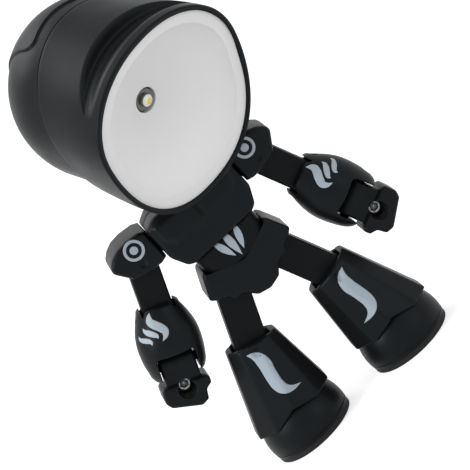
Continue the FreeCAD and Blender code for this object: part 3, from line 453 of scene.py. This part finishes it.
@dataclass(frozen=True)
class EmitterFinish(HeadFinish):
    """Yellow phosphor in the middle, a white cup round it and a dark body."""

    cup_tone: tuple[float, float, float] = (0.86, 0.86, 0.76)
    body_tone: tuple[float, float, float] = (0.05, 0.05, 0.048)
    phosphor_edge_mm: tuple[float, float] = (1.0, 1.15)
    cup_edge_mm: tuple[float, float] = (1.95, 2.1)

    def base_colour(self, wires: Wiring) -> object:
        """Three rings by distance from the lamp axis.

        Args:
            wires: where the pattern adds its nodes.

        Returns:
            The rings' colour socket.
        """
        out = self.off_axis(wires)
        cup = wires.blend(wires.spread(out, *self.phosphor_edge_mm, 0.0, 1.0),
                          rgba(*self.colour), rgba(*self.cup_tone))
        return wires.blend(wires.spread(out, *self.cup_edge_mm, 0.0, 1.0), cup,
                           rgba(*self.body_tone))


@dataclass(frozen=True)
class CellFinish(HeadFinish):
    """A printed sleeve with a pale band, by place along the cell."""

    band_tone: tuple[float, float, float] = (0.62, 0.55, 0.4)
    band_from_mm: tuple[float, float] = (9.0, 9.3)
    band_to_mm: tuple[float, float] = (15.0, 15.3)

    def base_colour(self, wires: Wiring) -> object:
        """Bands along the head's X axis, which the cells lie along.

        Args:
            wires: where the pattern adds its nodes.

        Returns:
            The bands' colour socket.
        """
        axis = wires.add("SeparateXYZ")
        wires.feed(axis.inputs[0], self.head_place(wires))
        along = wires.maths("MULTIPLY", axis.outputs[0], 1 / MM)
        band = wires.maths("MULTIPLY", wires.spread(along, *self.band_from_mm, 0.0, 1.0),
                           wires.spread(along, *self.band_to_mm, 1.0, 0.0))
        return wires.blend(band, rgba(*self.colour), rgba(*self.band_tone))


@dataclass(frozen=True)
class InkFinish(Finish):
    """Pad-printed ink, thin enough for the black to show through in places."""

    def base_colour(self, wires: Wiring) -> object:
        """Speckles the ink with its darker, thinner spots.

        Args:
            wires: where the pattern adds its nodes.

        Returns:
            The ink's colour socket.
        """
        place = wires.place()
        thin = wires.spread(wires.noise(place, 0.35, 3.0), 0.62, 0.74, 0.0, 0.45)
        return wires.blend(thin, rgba(*self.colour), rgba(0.22, 0.26, 0.3))


class Palette:
    """Every finish of the lamp, made once. All but blackened, which is for steel pins that
    look dark, are named for the slot of the record that they serve."""

    def __init__(self) -> None:
        """Makes the materials."""
        effects = SharedEffects()
        finishes = (
            Finish("black_shell", (0.0042, 0.0048, 0.0054), 0.4, specular=0.13, tint=COOL),
            Finish("black_joint", (0.004, 0.0044, 0.0048), 0.46, specular=0.1, tint=COOL,
                   grain_mm=0.22, scuffs=0.4),
            BowlFinish("white_bowl", (0.9, 0.905, 0.9), 0.55, grain_mm=0.5,
                       grain_depth_mm=0.006, mottle_share=0.04, scuffs=0.05, dust=0.02,
                       specular=0.3),
            Finish("steel", (0.42, 0.42, 0.43), 0.32, metal=1.0, grain_mm=0.15,
                   grain_depth_mm=0.004, dust=0.05),
            Finish("blackened", (0.018, 0.018, 0.02), 0.42, metal=0.9, grain_mm=0.12,
                   grain_depth_mm=0.003, dust=0.02),
            Finish("board", (0.05, 0.051, 0.05), 0.4, metal=0.3, grain_mm=0.2, dust=0.03),
            EmitterFinish("emitter", (0.85, 0.66, 0.08), 0.18, grain_depth_mm=0.001,
                          mottle_share=0.02, scuffs=0.0, dust=0.0, coat=0.6),
            CellFinish("cell", (0.05, 0.08, 0.16), 0.3, grain_depth_mm=0.003, coat=0.3),
            Finish("sole", (0.014, 0.014, 0.014), 0.72, grain_mm=0.6, grain_depth_mm=0.05,
                   specular=0.25, scuffs=0.5, dust=0.2),
        )
        self.materials = {finish.name: finish.make(effects) for finish in finishes}
        ink = InkFinish("printed_ink", (0.36, 0.43, 0.49), 0.5, grain_mm=0.2,
                        grain_depth_mm=0.004, mottle_mm=4.0, mottle_share=0.1, scuffs=0.3,
                        dust=0.02)
        self.ink = ink.make(effects)

    def dress(self, node: str, slot: str) -> None:
        """Gives a CAD node a finish.

        Args:
            node: the CAD node.
            slot: the name of the finish.
        """
        piece = frame["nodes"][node]
        material = self.materials[slot]
        if not piece.material_slots:
            piece.data.materials.append(material)
        for place in piece.material_slots:
            place.material = material


def smooth_through(points: np.ndarray, count: int, closed: bool = False) -> np.ndarray:
    """A Catmull-Rom curve: each span is the cubic through its two points whose end slopes
    are half the step between the neighbours on either side.

    Args:
        points: the points to pass through, one row each.
        count: how many rows come back.
        closed: whether the curve joins its own start.

    Returns:
        The curve's points, one row each.
    """
    if closed:
        padded = np.vstack([points[-1:], points, points[:2]])
    else:
        padded = np.vstack([2 * points[0] - points[1], points, 2 * points[-1] - points[-2]])
    spans = len(padded) - 3
    place = np.linspace(0, spans, count, endpoint=not closed)
    span = np.minimum(place.astype(int), spans - 1)
    t = (place - span)[:, None]
    before, start, end, after = (padded[span + step] for step in range(4))
    return 0.5 * (2 * start + (end - before) * t
                  + (2 * before - 5 * start + 4 * end - after) * t ** 2
                  + (3 * start - before - 3 * end + after) * t ** 3)


def grid_faces(rows: int, columns: int, closed: bool) -> np.ndarray:
    """Quads of a grid of points laid out row by row.

    Args:
        rows: rows of points.
        columns: points in a row.
        closed: whether the last row joins the first.

    Returns:
        One row of four point numbers for each face.
    """
    row = np.arange(rows if closed else rows - 1)[:, None]
    column = np.arange(columns - 1)[None, :]
    near, far = row * columns, (row + 1) % rows * columns
    return np.stack([near + column, near + column + 1, far + column + 1, far + column],
                    axis=-1).reshape(-1, 4)


@dataclass(frozen=True)
class Stroke:
    """One printed stroke: places on the front, as seen, and the half width at each, in mm."""

    spine: tuple[tuple[float, float, float], ...]
    closed: bool = False
    rows: int = 72
    columns: int = 9
    least_half: float = 0.02

    def outline(self, side: Side) -> np.ndarray:
        """The stroke as a grid: the centre line plus its own normal times the half width.

        Args:
            side: the side of the robot; the stroke is mirrored on its right.

        Returns:
            Grid points as rows of across and up, in millimetres.
        """
        spine = np.array(self.spine, float) * (side.value, 1, 1)
        curve = smooth_through(spine, self.rows, self.closed)
        centre, half = curve[:, :2], np.maximum(curve[:, 2], self.least_half)
        if self.closed:
            slope = np.roll(centre, -1, 0) - np.roll(centre, 1, 0)
        else:
            slope = np.gradient(centre, axis=0)
        slope /= np.linalg.norm(slope, axis=1, keepdims=True)
        normal = np.stack([-slope[:, 1], slope[:, 0]], axis=1)
        across = np.linspace(-1, 1, self.columns)
        return centre[:, None] + normal[:, None] * (half[:, None] * across)[..., None]

    def is_turned(self, grid: np.ndarray, side: Side) -> bool:
        """Whether the faces of this stroke's grid are listed the other way round.

        Args:
            grid: the stroke's outline.
            side: the side of the robot that it is for.

        Returns:
            For a closed stroke, whether its first cell runs clockwise; for an open one,
            whether it is on the right.
        """
        if not self.closed:
            return side is Side.RIGHT
        along, over = grid[1, 0] - grid[0, 0], grid[0, -1] - grid[0, 0]
        return along[0] * over[1] - along[1] * over[0] < 0


def add_object(name: str, data: bpy.types.ID) -> bpy.types.Object:
    """Makes an object and puts it into the scene.

    Args:
        name: the object's name.
        data: its mesh, light or camera.

    Returns:
        The object.
    """
    thing = bpy.data.objects.new(name, data)
    bpy.context.scene.collection.objects.link(thing)
    return thing


def place_mesh(name: str, points: np.ndarray, faces: np.ndarray) -> bpy.types.Object:
    """Makes an object at the origin from points in millimetres, with seams and poles closed.

    Args:
        name: the object's name.
        points: one row for each point.
        faces: one row of four point numbers for each face.

    Returns:
        The new object, smoothly shaded, with its faces pointing outwards.
    """
    mesh = bpy.data.meshes.new(name)
    mesh.from_pydata((points * MM).tolist(), [], faces.tolist())
    shape = bmesh.new()
    shape.from_mesh(mesh)
    bmesh.ops.remove_doubles(shape, verts=shape.verts, dist=GRID_WELD * MM)
    bmesh.ops.recalc_face_normals(shape, faces=shape.faces)
    shape.to_mesh(mesh)
    shape.free()
    mesh.polygons.foreach_set("use_smooth", [True] * len(mesh.polygons))
    return add_object(name, mesh)


def settle(piece: bpy.types.Object) -> None:
    """Applies the modifiers and the turn, and leaves the object at the origin.

    Args:
        piece: the object, whose mesh is replaced.
    """
    bpy.context.view_layer.update()
    graph = bpy.context.evaluated_depsgraph_get()
    finished = bpy.data.meshes.new_from_object(piece.evaluated_get(graph))
    finished.transform(Euler(piece.rotation_euler).to_matrix().to_4x4())
    finished.polygons.foreach_set("use_smooth", [True] * len(finished.polygons))
    piece.modifiers.clear()
    piece.rotation_euler = (0, 0, 0)
    piece.data = finished


def smooth_step(value: np.ndarray, low: float, high: float) -> np.ndarray:
    """0 below low, 1 above high, and 3t^2 - 2t^3 between, where t is the share of the way."""
    t = np.clip((value - low) / (high - low), 0, 1)
    return t * t * (3 - 2 * t)


class MouldShop:
    """Gives the plain machined forms their moulded radii."""

    def __init__(self, palette: Palette) -> None:
        """Keeps the palette that dresses the pieces."""
        self.palette = palette

    def soften(self, node: str, slot: str, pins: tuple[str, ...] = (),
               cell_mm: float = 0.4, passes: int = 9) -> None:
        """Replaces a node with a copy in small even cells whose edges are rounded.

        Args:
            node: the CAD node.
            slot: the record's slot and the finish of the piece.
            pins: pins whose ends are smoothed over into the moulding.
            cell_mm: size of one cell of the new surface.
            passes: how often each point moves half way to the mean of its neighbours.
        """
        source = frame["nodes"][node]
        mesh = bpy.data.meshes.new("moulded_" + node)
        shape = bmesh.new()
        for name in (node, *pins):
            shape.from_mesh(frame["nodes"][name].data)
        bmesh.ops.remove_doubles(shape, verts=shape.verts, dist=CAD_WELD * MM)
        shape.to_mesh(mesh)
        shape.free()
        piece = add_object("moulded_" + node, mesh)
        cells = piece.modifiers.new("cells", "REMESH")
        cells.mode = "VOXEL"
        cells.voxel_size = cell_mm * MM
        smooth = piece.modifiers.new("radii", "SMOOTH")
        smooth.factor = 0.5
        smooth.iterations = passes
        settle(piece)
        piece.data.materials.append(self.palette.materials[slot])
        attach(piece, source["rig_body"])
        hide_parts(node, *pins)
        LOG.info("%s softened, %d faces", node, len(piece.data.polygons))


class PrintShop:
    """Lays strokes of ink on the moulded pieces, along the line of sight of the photograph."""

    # How far in front of the origin the strokes start, and how high the ink stands, in mm.
    STAND_OFF = 90.0
    FILM = 0.05

    def __init__(self, palette: Palette) -> None:
        """Keeps the palette that holds the ink."""
        self.palette = palette

    def print_on(self, name: str, node: str, body: str, strokes: tuple[Stroke, ...],
                 side: Side = Side.LEFT) -> None:
        """Prints strokes on one node as one thin film.

        Args:
            name: the new piece's name.
            node: the CAD node that carries the ink.
            body: the body that the film rides on.
            strokes: the strokes, in the place of the robot's left side.
            side: which side they are for.
        """
        points, faces, base = [], [], 0
        for stroke in strokes:
            grid = stroke.outline(side)
            quads = grid_faces(stroke.rows, stroke.columns, stroke.closed)
            if stroke.is_turned(grid, side):
                quads = quads[:, ::-1]
            points.append(grid.reshape(-1, 2))
            faces.append(quads + base)
            base += stroke.rows * stroke.columns
        flat = np.vstack(points) * MM
        raised = flat[:, 1] * math.cos(VIEW_RISE) + TORSO_Y * math.sin(VIEW_RISE)
        sheet = np.column_stack([flat[:, 0], np.full(len(flat), -self.STAND_OFF * MM), raised])
        mesh = bpy.data.meshes.new(name)
        mesh.from_pydata(sheet.tolist(), [], np.vstack(faces).tolist())
        film = add_object(name, mesh)
        film.rotation_euler = (-VIEW_RISE, 0, 0)
        self.face_viewer(film)
        wrap = film.modifiers.new("lay", "SHRINKWRAP")
        wrap.target = bpy.data.objects.get("moulded_" + node) or frame["nodes"][node]
        wrap.wrap_method = "PROJECT"
        wrap.use_project_y = True
        wrap.use_positive_direction, wrap.use_negative_direction = True, False
        wrap.offset = self.FILM * MM
        skin = film.modifiers.new("film", "SOLIDIFY")
        skin.thickness = 2 * self.FILM * MM
        skin.offset = -1
        settle(film)
        film.data.materials.append(self.palette.ink)
        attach(film, body)
        LOG.info("%s printed on %s", name, node)

    @staticmethod
    def face_viewer(film: bpy.types.Object) -> None:
        """Flips the faces if most of them point away from the viewer, who is towards -Y.

        Args:
            film: the flat strokes, before they are laid on.
        """
        mesh = film.data
        normals = np.empty(len(mesh.polygons) * 3, np.float32)
        mesh.polygons.foreach_get("normal", normals)
        if normals.reshape(-1, 3)[:, 1].mean() > 0:
            mesh.flip_normals()


@dataclass
class Visor:
    """The front shell of the helmet, in the head's own frame, in millimetres.

    The outline is an egg at the rim, whose half width, top and chin are given, and a circle at
    the sleeve. Its section runs from the rim's rounded edge over a plain band, the brow's hollow
    and the side to the seam's rounded edge, and back along the inside.
    """

    rim: tuple[float, float, float] = (32.3, 31.0, 33.8)
    rim_fullness: float = 2.2
    fullness_lost: float = 0.2
    cheek_swell: float = 0.12
    sleeve_radius: float = 29.8
    sleeve_end: float = 39.0
    seam_setback: float = 23.82
    seam_lean: float = math.tan(math.radians(22))
    seam_rounds: int = 5
    wall: float = 2.2
    rim_wall: float = 1.62
    wall_grows: tuple[float, float] = (3.0, 6.0)
    rim_radius: float = 0.6
    seam_radius: float = 0.3
    brow_start: float = 2.6
    brow_reach: tuple[float, float] = (4.5, 8.0)
    brow_depth: float = 3.5
    brow_spread: float = math.radians(52)
    brow_fade: float = 1.1
    brow_sunk: float = 0.62
    brow_step: float = 0.86
    turns: int = 360
    corner_steps: int = 5
    band_steps: int = 8
    brow_steps: int = 56
    side_steps: int = 22
    inner_stride: int = 4

    def outline(self, angle: np.ndarray, y: np.ndarray,
                inset: np.ndarray) -> tuple[np.ndarray, np.ndarray]:
        """The egg shaped outline at a depth: cosine and sine raised to 2 over the fullness,
        times the half sizes, which pass smoothly from the rim's to the sleeve's.

        Args:
            angle: angle round the lamp axis, from the robot's left over the crown.
            y: depth behind the rim plane.
            inset: how far inside the outer skin.

        Returns:
            Across and up.
        """
        blend = smooth_step(y, 0.0, self.sleeve_end)
        half, top, chin = (size + (self.sleeve_radius - size) * blend - inset
                           for size in self.rim)
        power = 2 / (self.rim_fullness - self.fullness_lost * blend)
        cosine, sine = np.cos(angle), np.sin(angle)
        swell = 1 + self.cheek_swell * (1 - blend) * sine * (1 - np.abs(sine))
        across = half * np.sign(cosine) * np.abs(cosine) ** power * swell
        return across, np.where(sine > 0, top, chin) * np.sign(sine) * np.abs(sine) ** power

    def crown_share(self, angle: np.ndarray) -> np.ndarray:
        """1 over the crown, falling to 0 where the brow's hollow ends at the sides."""
        return np.clip(1 - ((angle - np.pi / 2) / self.brow_spread) ** 2, 0, 1)

    def brow_length(self, angle: np.ndarray) -> np.ndarray:
        """How far back the brow's hollow runs at an angle."""
        return self.brow_reach[0] + self.brow_reach[1] * self.crown_share(angle)

    def hollow(self, angle: np.ndarray, y: np.ndarray) -> np.ndarray:
        """How deep the brow's hollow is: widest and deepest over the crown and gone to the
        sides; it sinks slowly behind the rim and ends in a short step.

        Args:
            angle: angle round the lamp axis.
            y: depth behind the rim plane.

        Returns:
            The depth of the hollow below the outer skin.
        """
        share = (y - self.brow_start) / self.brow_length(angle)
        sinking = smooth_step(share, 0.0, self.brow_sunk)
        rising = smooth_step(share, self.brow_step, 1.0)
        return self.brow_depth * self.crown_share(angle) ** self.brow_fade * sinking * (1 - rising)

    def seam(self, angle: np.ndarray) -> np.ndarray:
        """Where the shell ends: the seam leans with the height of the skin that it cuts, so
        its depth is worked out again from that height a few times.

        Args:
            angle: angle round the lamp axis.

        Returns:
            Depth behind the rim plane.
        """
        end = np.full_like(angle, self.seam_setback)
        for _ in range(self.seam_rounds):
            end = self.seam_setback + self.seam_lean * self.outline(angle, end, 0.0)[1]
        return end

    def profile(self, angle: np.ndarray) -> tuple[np.ndarray, np.ndarray]:
        """The shell's section at each angle, out along the skin and back along the inside.

        Args:
            angle: one row for each angle round the lamp axis.

        Returns:
            Depth behind the rim plane and inset from the plain outline, a row for each angle.
        """
        end = self.seam(angle)
        corner = np.linspace(0, np.pi / 2, self.corner_steps)
        sines, cosines = 1 - np.sin(corner), 1 - np.cos(corner)
        level = np.ones_like(angle)
        lip = level * self.rim_radius * sines[::-1]
        lip_inset = level * self.rim_radius * cosines[::-1]
        band = level * (self.rim_radius + (self.brow_start - self.rim_radius)
                        * np.linspace(0, 1, self.band_steps)[1:-1])
        scoop = self.brow_start + self.brow_length(angle) * np.linspace(0, 1, self.brow_steps)
        plain = scoop[:, -1:] + (end - self.seam_radius - scoop[:, -1:]) * np.linspace(
            0, 1, self.side_steps)[1:]
        back = end - self.seam_radius * sines[1:]
        back_inset = level * self.seam_radius * cosines[1:]
        skin = np.hstack([band, scoop, plain])
        inner = np.hstack([end, scoop[:, ::-self.inner_stride], band[:, 2:3], 0 * end])
        thick = self.rim_wall + (self.wall - self.rim_wall) * smooth_step(inner, *self.wall_grows)
        depth = np.hstack([lip, skin, back, inner, lip[:, :1]])
        inset = np.hstack([lip_inset, self.hollow(angle, skin), back_inset,
                           thick + self.hollow(angle, inner), lip_inset[:, :1]])
        return depth, inset

    def build(self, palette: Palette) -> None:
        """Makes the shell as one closed grid, with its section at each angle.

        Args:
            palette: the finishes.
        """
        angle = (np.arange(self.turns) * 2 * np.pi / self.turns)[:, None]
        depth, inset = self.profile(angle)
        across, up = self.outline(angle, depth, inset)
        points = np.stack([across, depth, up], axis=-1).reshape(-1, 3)
        piece = place_mesh("helmet_visor", points, grid_faces(self.turns, depth.shape[1], True))
        place = Matrix.LocRotScale(Vector(HEAD_PLACE), Euler(HEAD_TURN), None)
        piece.data.transform(place)
        piece.data.materials.append(palette.materials["black_shell"])
        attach(piece, "head")
        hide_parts("head_front_shell")
        LOG.info("visor made")


@dataclass(frozen=True)
class Workshop:
    """What every sub-assembly is made with."""

    palette: Palette
    moulds: MouldShop
    prints: PrintShop


@dataclass
class HelmetHead:
    """The head: shells, bowl, emitter, batteries, door and button."""

    shells: tuple[str, ...] = ("head_rear_shell", "battery_door", "power_button")
    dark: tuple[str, ...] = ("battery_holder", "power_switch", "neck_post")
    steel: tuple[str, ...] = ("head_screw_left", "head_screw_right", "tilt_pin",
                              "battery_door_screw")
    cells: tuple[str, ...] = ("battery_cell_1", "battery_cell_2", "battery_cell_3")

    def build(self, shop: Workshop) -> None:
        """Makes the visor and dresses every other node of the head and neck.

        Args:
            shop: what the pieces are made with.
        """
        Visor().build(shop.palette)
        for slot, nodes in (("black_shell", self.shells), ("black_joint", self.dark),
                            ("steel", self.steel), ("cell", self.cells),
                            ("white_bowl", ("reflector",)), ("board", ("led_board",)),
                            ("emitter", ("led_emitter",))):
            for node in nodes:
                shop.palette.dress(node, slot)
        LOG.info("head dressed")


@dataclass
class Torso:
    """Chest, belly and pelvis, with the three leaves printed on the belly."""

    leaves: tuple[Stroke, ...] = (
        Stroke(((-4.4, 72.6, 0.0), (-3.9, 70.6, 0.75), (-3.1, 68.2, 1.2), (-2.2, 65.6, 0.85),
                (-1.3, 63.2, 0.0))),
        Stroke(((0.3, 73.6, 0.0), (0.3, 70.9, 0.95), (0.35, 68.0, 1.35), (0.4, 65.0, 0.9),
                (0.4, 62.1, 0.0))),
        Stroke(((5.2, 72.6, 0.0), (4.7, 70.6, 0.75), (4.0, 68.2, 1.2), (3.1, 65.6, 0.85),
                (2.2, 63.2, 0.0))),
    )

    def build(self, shop: Workshop) -> None:
        """Softens and dresses the torso's nodes and prints the leaves.

        Args:
            shop: what the pieces are made with.
        """
        shop.moulds.soften("chest_front", "black_shell", passes=30)
        shop.moulds.soften("chest_back", "black_shell", passes=12)
        shop.moulds.soften("pelvis", "black_shell", ("hip_pin_left", "hip_pin_right"), passes=14)
        shop.moulds.soften("belly", "black_joint")
        for node in ("chest_screw_left", "chest_screw_right", "waist_screw"):
            shop.palette.dress(node, "steel")
        shop.prints.print_on("belly_leaves", "belly", "torso", self.leaves)
        LOG.info("torso dressed")


def ring(across: float, up: float, radius: float, half: float, count: int = 16) -> Stroke:
    """A printed ring: points evenly round a circle.

    Args:
        across: X of the centre, in mm.
        up: height of the centre as seen, in mm.
        radius: radius of the ring's middle, in mm.
        half: half the width of its line, in mm.
        count: how many points the circle passes through.

    Returns:
        The closed stroke.
    """
    turn = np.arange(count) * 2 * np.pi / count
    return Stroke(tuple((across + radius * math.cos(a), up + radius * math.sin(a), half)
                        for a in turn), closed=True, columns=7)


@dataclass
class Arm:
    """One arm from shoulder pad to hand, with its printed ring and wavy stripes."""

    side: Side
    badge: tuple[Stroke, ...] = field(default_factory=lambda: (
        ring(24.5, 87.8, 3.1, 0.5), ring(24.5, 87.8, 0.72, 0.7)))
    stripes: tuple[Stroke, ...] = (
        Stroke(((35.0, 69.2, 0.0), (36.3, 67.9, 0.9), (36.9, 66.6, 1.3), (36.5, 65.1, 1.45),
                (35.8, 63.6, 1.45), (35.3, 62.1, 1.4), (35.2, 60.9, 1.2), (36.2, 59.7, 0.8),
                (38.0, 59.0, 0.0))),
        Stroke(((40.1, 66.8, 0.0), (40.3, 65.6, 0.6), (39.9, 64.5, 0.95), (39.3, 63.5, 1.0),
                (38.7, 62.5, 0.9), (38.3, 61.5, 0.65), (38.6, 60.6, 0.0))),
        Stroke(((43.0, 65.7, 0.0), (43.3, 64.6, 0.5), (42.9, 63.7, 0.8), (42.2, 62.9, 0.9),
                (41.5, 62.1, 0.8), (41.2, 61.2, 0.55), (41.6, 60.3, 0.0))),
    )
    palm: tuple[float, float] = (43.27, 42.66)
    screw: tuple[tuple[float, float], ...] = (
        (0.01, 3.6), (0.95, 3.6), (1.05, 1.9), (1.3, 1.55), (2.1, 1.5), (2.7, 1.9), (2.9, 2.4),
        (2.9, 5.2), (0.01, 5.2))
    screw_turns: int = 96
    key_radius: float = 1.2
    key_swell: float = 0.1
    key_lobes: int = 6

    def make_palm_screw(self, palette: Palette) -> None:
        """The screw at the back of the hole in the hand: a profile of radius and depth turned
        about the hole's axis, whose inner radii swell and shrink with the lobes of the key.

        Args:
            palette: the finishes.
        """
        profile = np.array(self.screw)
        turn = (np.arange(self.screw_turns) * 2 * np.pi / self.screw_turns)[:, None]
        radius = profile[:, 0]
        depth = np.broadcast_to(profile[:, 1], (self.screw_turns, len(profile)))
        key = np.where(radius < self.key_radius, self.key_swell * np.cos(self.key_lobes * turn),
                       0.0)
        out = radius * (1 + key)
        points = np.stack([self.side.value * self.palm[0] + out * np.cos(turn),
                           depth + TORSO_Y / MM, self.palm[1] + out * np.sin(turn)],
                          axis=-1).reshape(-1, 3)
        piece = place_mesh("palm_screw_" + self.side.word, points,
                           grid_faces(self.screw_turns, len(profile), True))
        piece.data.materials.append(palette.materials["steel"])
        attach(piece, "fist_" + self.side.word)

    def build(self, shop: Workshop) -> None:
        """Softens and dresses the arm's nodes and prints its marks.

        Args:
            shop: what the pieces are made with.
        """
        word, moulds = self.side.word, shop.moulds
        moulds.soften("shoulder_pad_" + word, "black_shell", ("shoulder_pin_" + word,), 0.3, 5)
        moulds.soften("gauntlet_" + word, "black_shell",
                      ("elbow_pin_" + word, "wrist_pin_" + word), 0.3, 6)
        moulds.soften("hand_" + word, "black_shell")
        moulds.soften("upper_arm_" + word, "black_joint")
        self.make_palm_screw(shop.palette)
        shop.prints.print_on("shoulder_ring_" + word, "shoulder_pad_" + word, "pad_" + word,
                             self.badge, self.side)
        shop.prints.print_on("gauntlet_stripes_" + word, "gauntlet_" + word, "forearm_" + word,
                             self.stripes, self.side)
        LOG.info("%s arm dressed", word)


@dataclass
class Leg:
    """One leg from thigh to sole, with the long stroke on its boot."""

    side: Side
    flourish: tuple[Stroke, ...] = (
        Stroke(((21.6, 35.9, 0.0), (20.0, 34.3, 1.15), (19.0, 32.2, 2.0), (18.9, 29.5, 2.3),
                (19.5, 27.0, 2.2), (20.0, 24.5, 2.2), (20.35, 22.0, 2.15),
                (20.1, 20.0, 2.05), (19.1, 18.4, 1.55), (17.2, 17.2, 0.85),
                (14.2, 16.6, 0.0)), columns=13),
    )

    def build(self, shop: Workshop) -> None:
        """Softens and dresses the leg's nodes and prints its mark.

        Args:
            shop: what the pieces are made with.
        """
        word = self.side.word
        shop.moulds.soften("boot_" + word, "black_shell", ("knee_pin_" + word,), 0.45, 14)
        shop.palette.dress("foot_" + word, "black_shell")
        shop.moulds.soften("thigh_" + word, "black_joint")
        shop.palette.dress("sole_" + word, "sole")
        shop.palette.dress("ankle_pin_" + word, "blackened")
        shop.prints.print_on("boot_flourish_" + word, "boot_" + word, "lower_leg_" + word,
                             self.flourish, self.side)
        LOG.info("%s leg dressed", word)


@dataclass
class Studio:
    """The pale floor, the white surround, the soft lights and the camera."""

    aim: tuple[float, float, float] = (2.93 * MM, -10 * MM + TORSO_Y, 71.1 * MM)
    distance: float = 0.8
    lens: float = 188.0
    sensor: float = 36.0
    surround: float = 0.72
    floor_reach: float = 6.0
    floor_level: float = -0.02 * MM
    floor_tone: float = 0.6
    floor_glow: float = 0.62
    lamp_aim: tuple[float, float, float] = (0.0, 0.0, 0.09)
    lamps: tuple[tuple[tuple[float, float, float], float, float], ...] = (
        ((-0.95, -0.35, 0.7), 0.5, 6.5),
        ((0.7, -0.75, 0.3), 0.5, 1.0),
        ((-0.3, 0.55, 0.9), 0.6, 3.0),
    )

    @staticmethod
    def seen_directly(wires: Wiring) -> bpy.types.NodeSocket:
        """1 for camera, mirror and glass rays, and 0 for the light that falls on things.

        Args:
            wires: where the nodes go.

        Returns:
            The value's socket.
        """
        path = wires.add("LightPath")
        total = wires.maths("ADD", path.outputs["Is Camera Ray"], path.outputs["Is Glossy Ray"])
        return wires.maths("MINIMUM", 1.0, wires.maths(
            "ADD", total, path.outputs["Is Transmission Ray"]))

    def make_surround(self) -> None:
        """A world that lights softly and looks white."""
        world = bpy.data.worlds.new("white surround")
        world.use_nodes = True
        wires = Wiring(world.node_tree)
        background = world.node_tree.nodes["Background"]
        background.inputs["Color"].default_value = rgba(1.0, 1.0, 1.0)
        strength = wires.spread(self.seen_directly(wires), 0.0, 1.0, self.surround, 1.0)
        wires.feed(background.inputs["Strength"], strength)
        bpy.context.scene.world = world

    def make_floor(self) -> None:
        """A wide pale floor that keeps the shadow and looks white where it is lit."""
        mesh = bpy.data.meshes.new("floor")
        far, low = self.floor_reach, self.floor_level
        mesh.from_pydata([(-far, -far, low), (far, -far, low), (far, far, low),
                          (-far, far, low)], [], [(0, 1, 2, 3)])
        floor = add_object("floor", mesh)
        material = bpy.data.materials.new("pale floor")
        material.use_nodes = True
        wires = Wiring(material.node_tree)
        shader = material.node_tree.nodes["Principled BSDF"]
        grey = self.floor_tone
        shader.inputs["Base Color"].default_value = rgba(grey, grey, grey)
        shader.inputs["Roughness"].default_value = 0.9
        shader.inputs["Specular IOR Level"].default_value = 0.0
        shader.inputs["Emission Color"].default_value = rgba(1.0, 1.0, 1.0)
        wires.feed(shader.inputs["Emission Strength"],
                   wires.spread(self.seen_directly(wires), 0.0, 1.0, 0.0, self.floor_glow))
        mesh.materials.append(material)

    def make_lights(self) -> None:
        """Large soft lamps that all aim at the chest."""
        for number, (place, size, watts) in enumerate(self.lamps, 1):
            light = bpy.data.lights.new(f"softbox_{number}", "AREA")
            light.shape = "DISK"
            light.size = size
            light.energy = watts
            lamp = add_object(light.name, light)
            lamp.location = place
            aim = Vector(self.lamp_aim) - lamp.location
            lamp.rotation_euler = aim.to_track_quat("-Z", "Y").to_euler()

    def make_camera(self) -> None:
        """A long lens, a little above level, rolled so that the robot leans to the left."""
        data = bpy.data.cameras.new("camera")
        data.sensor_width = self.sensor
        data.lens = self.lens
        data.clip_start, data.clip_end = 0.01, 50.0
        camera = add_object("camera", data)
        back = Vector((0, -math.cos(VIEW_RISE), math.sin(VIEW_RISE)))
        camera.location = Vector(self.aim) + back * self.distance
        turn = (-back).to_track_quat("-Z", "Y").to_matrix()
        roll = Euler((0, 0, -IMAGE_ROLL)).to_matrix()
        camera.rotation_euler = (turn @ roll).to_euler()
        bpy.context.scene.camera = camera

    def build(self) -> None:
        """Makes the whole studio and sets the plain view transform."""
        bpy.context.scene.view_settings.view_transform = "Standard"
        self.make_surround()
        self.make_floor()
        self.make_lights()
        self.make_camera()
        LOG.info("studio made")


def main() -> None:
    """Builds the studio and every sub-assembly in order."""
    logging.basicConfig(level=logging.INFO, format="%(name)s: %(message)s")
    palette = Palette()
    shop = Workshop(palette, MouldShop(palette), PrintShop(palette))
    parts = [HelmetHead(), Torso()]
    parts += [kind(side) for kind in (Arm, Leg) for side in Side]
    Studio().build()
    for part in parts:
        part.build(shop)


if __name__ == "__main__":
    main()
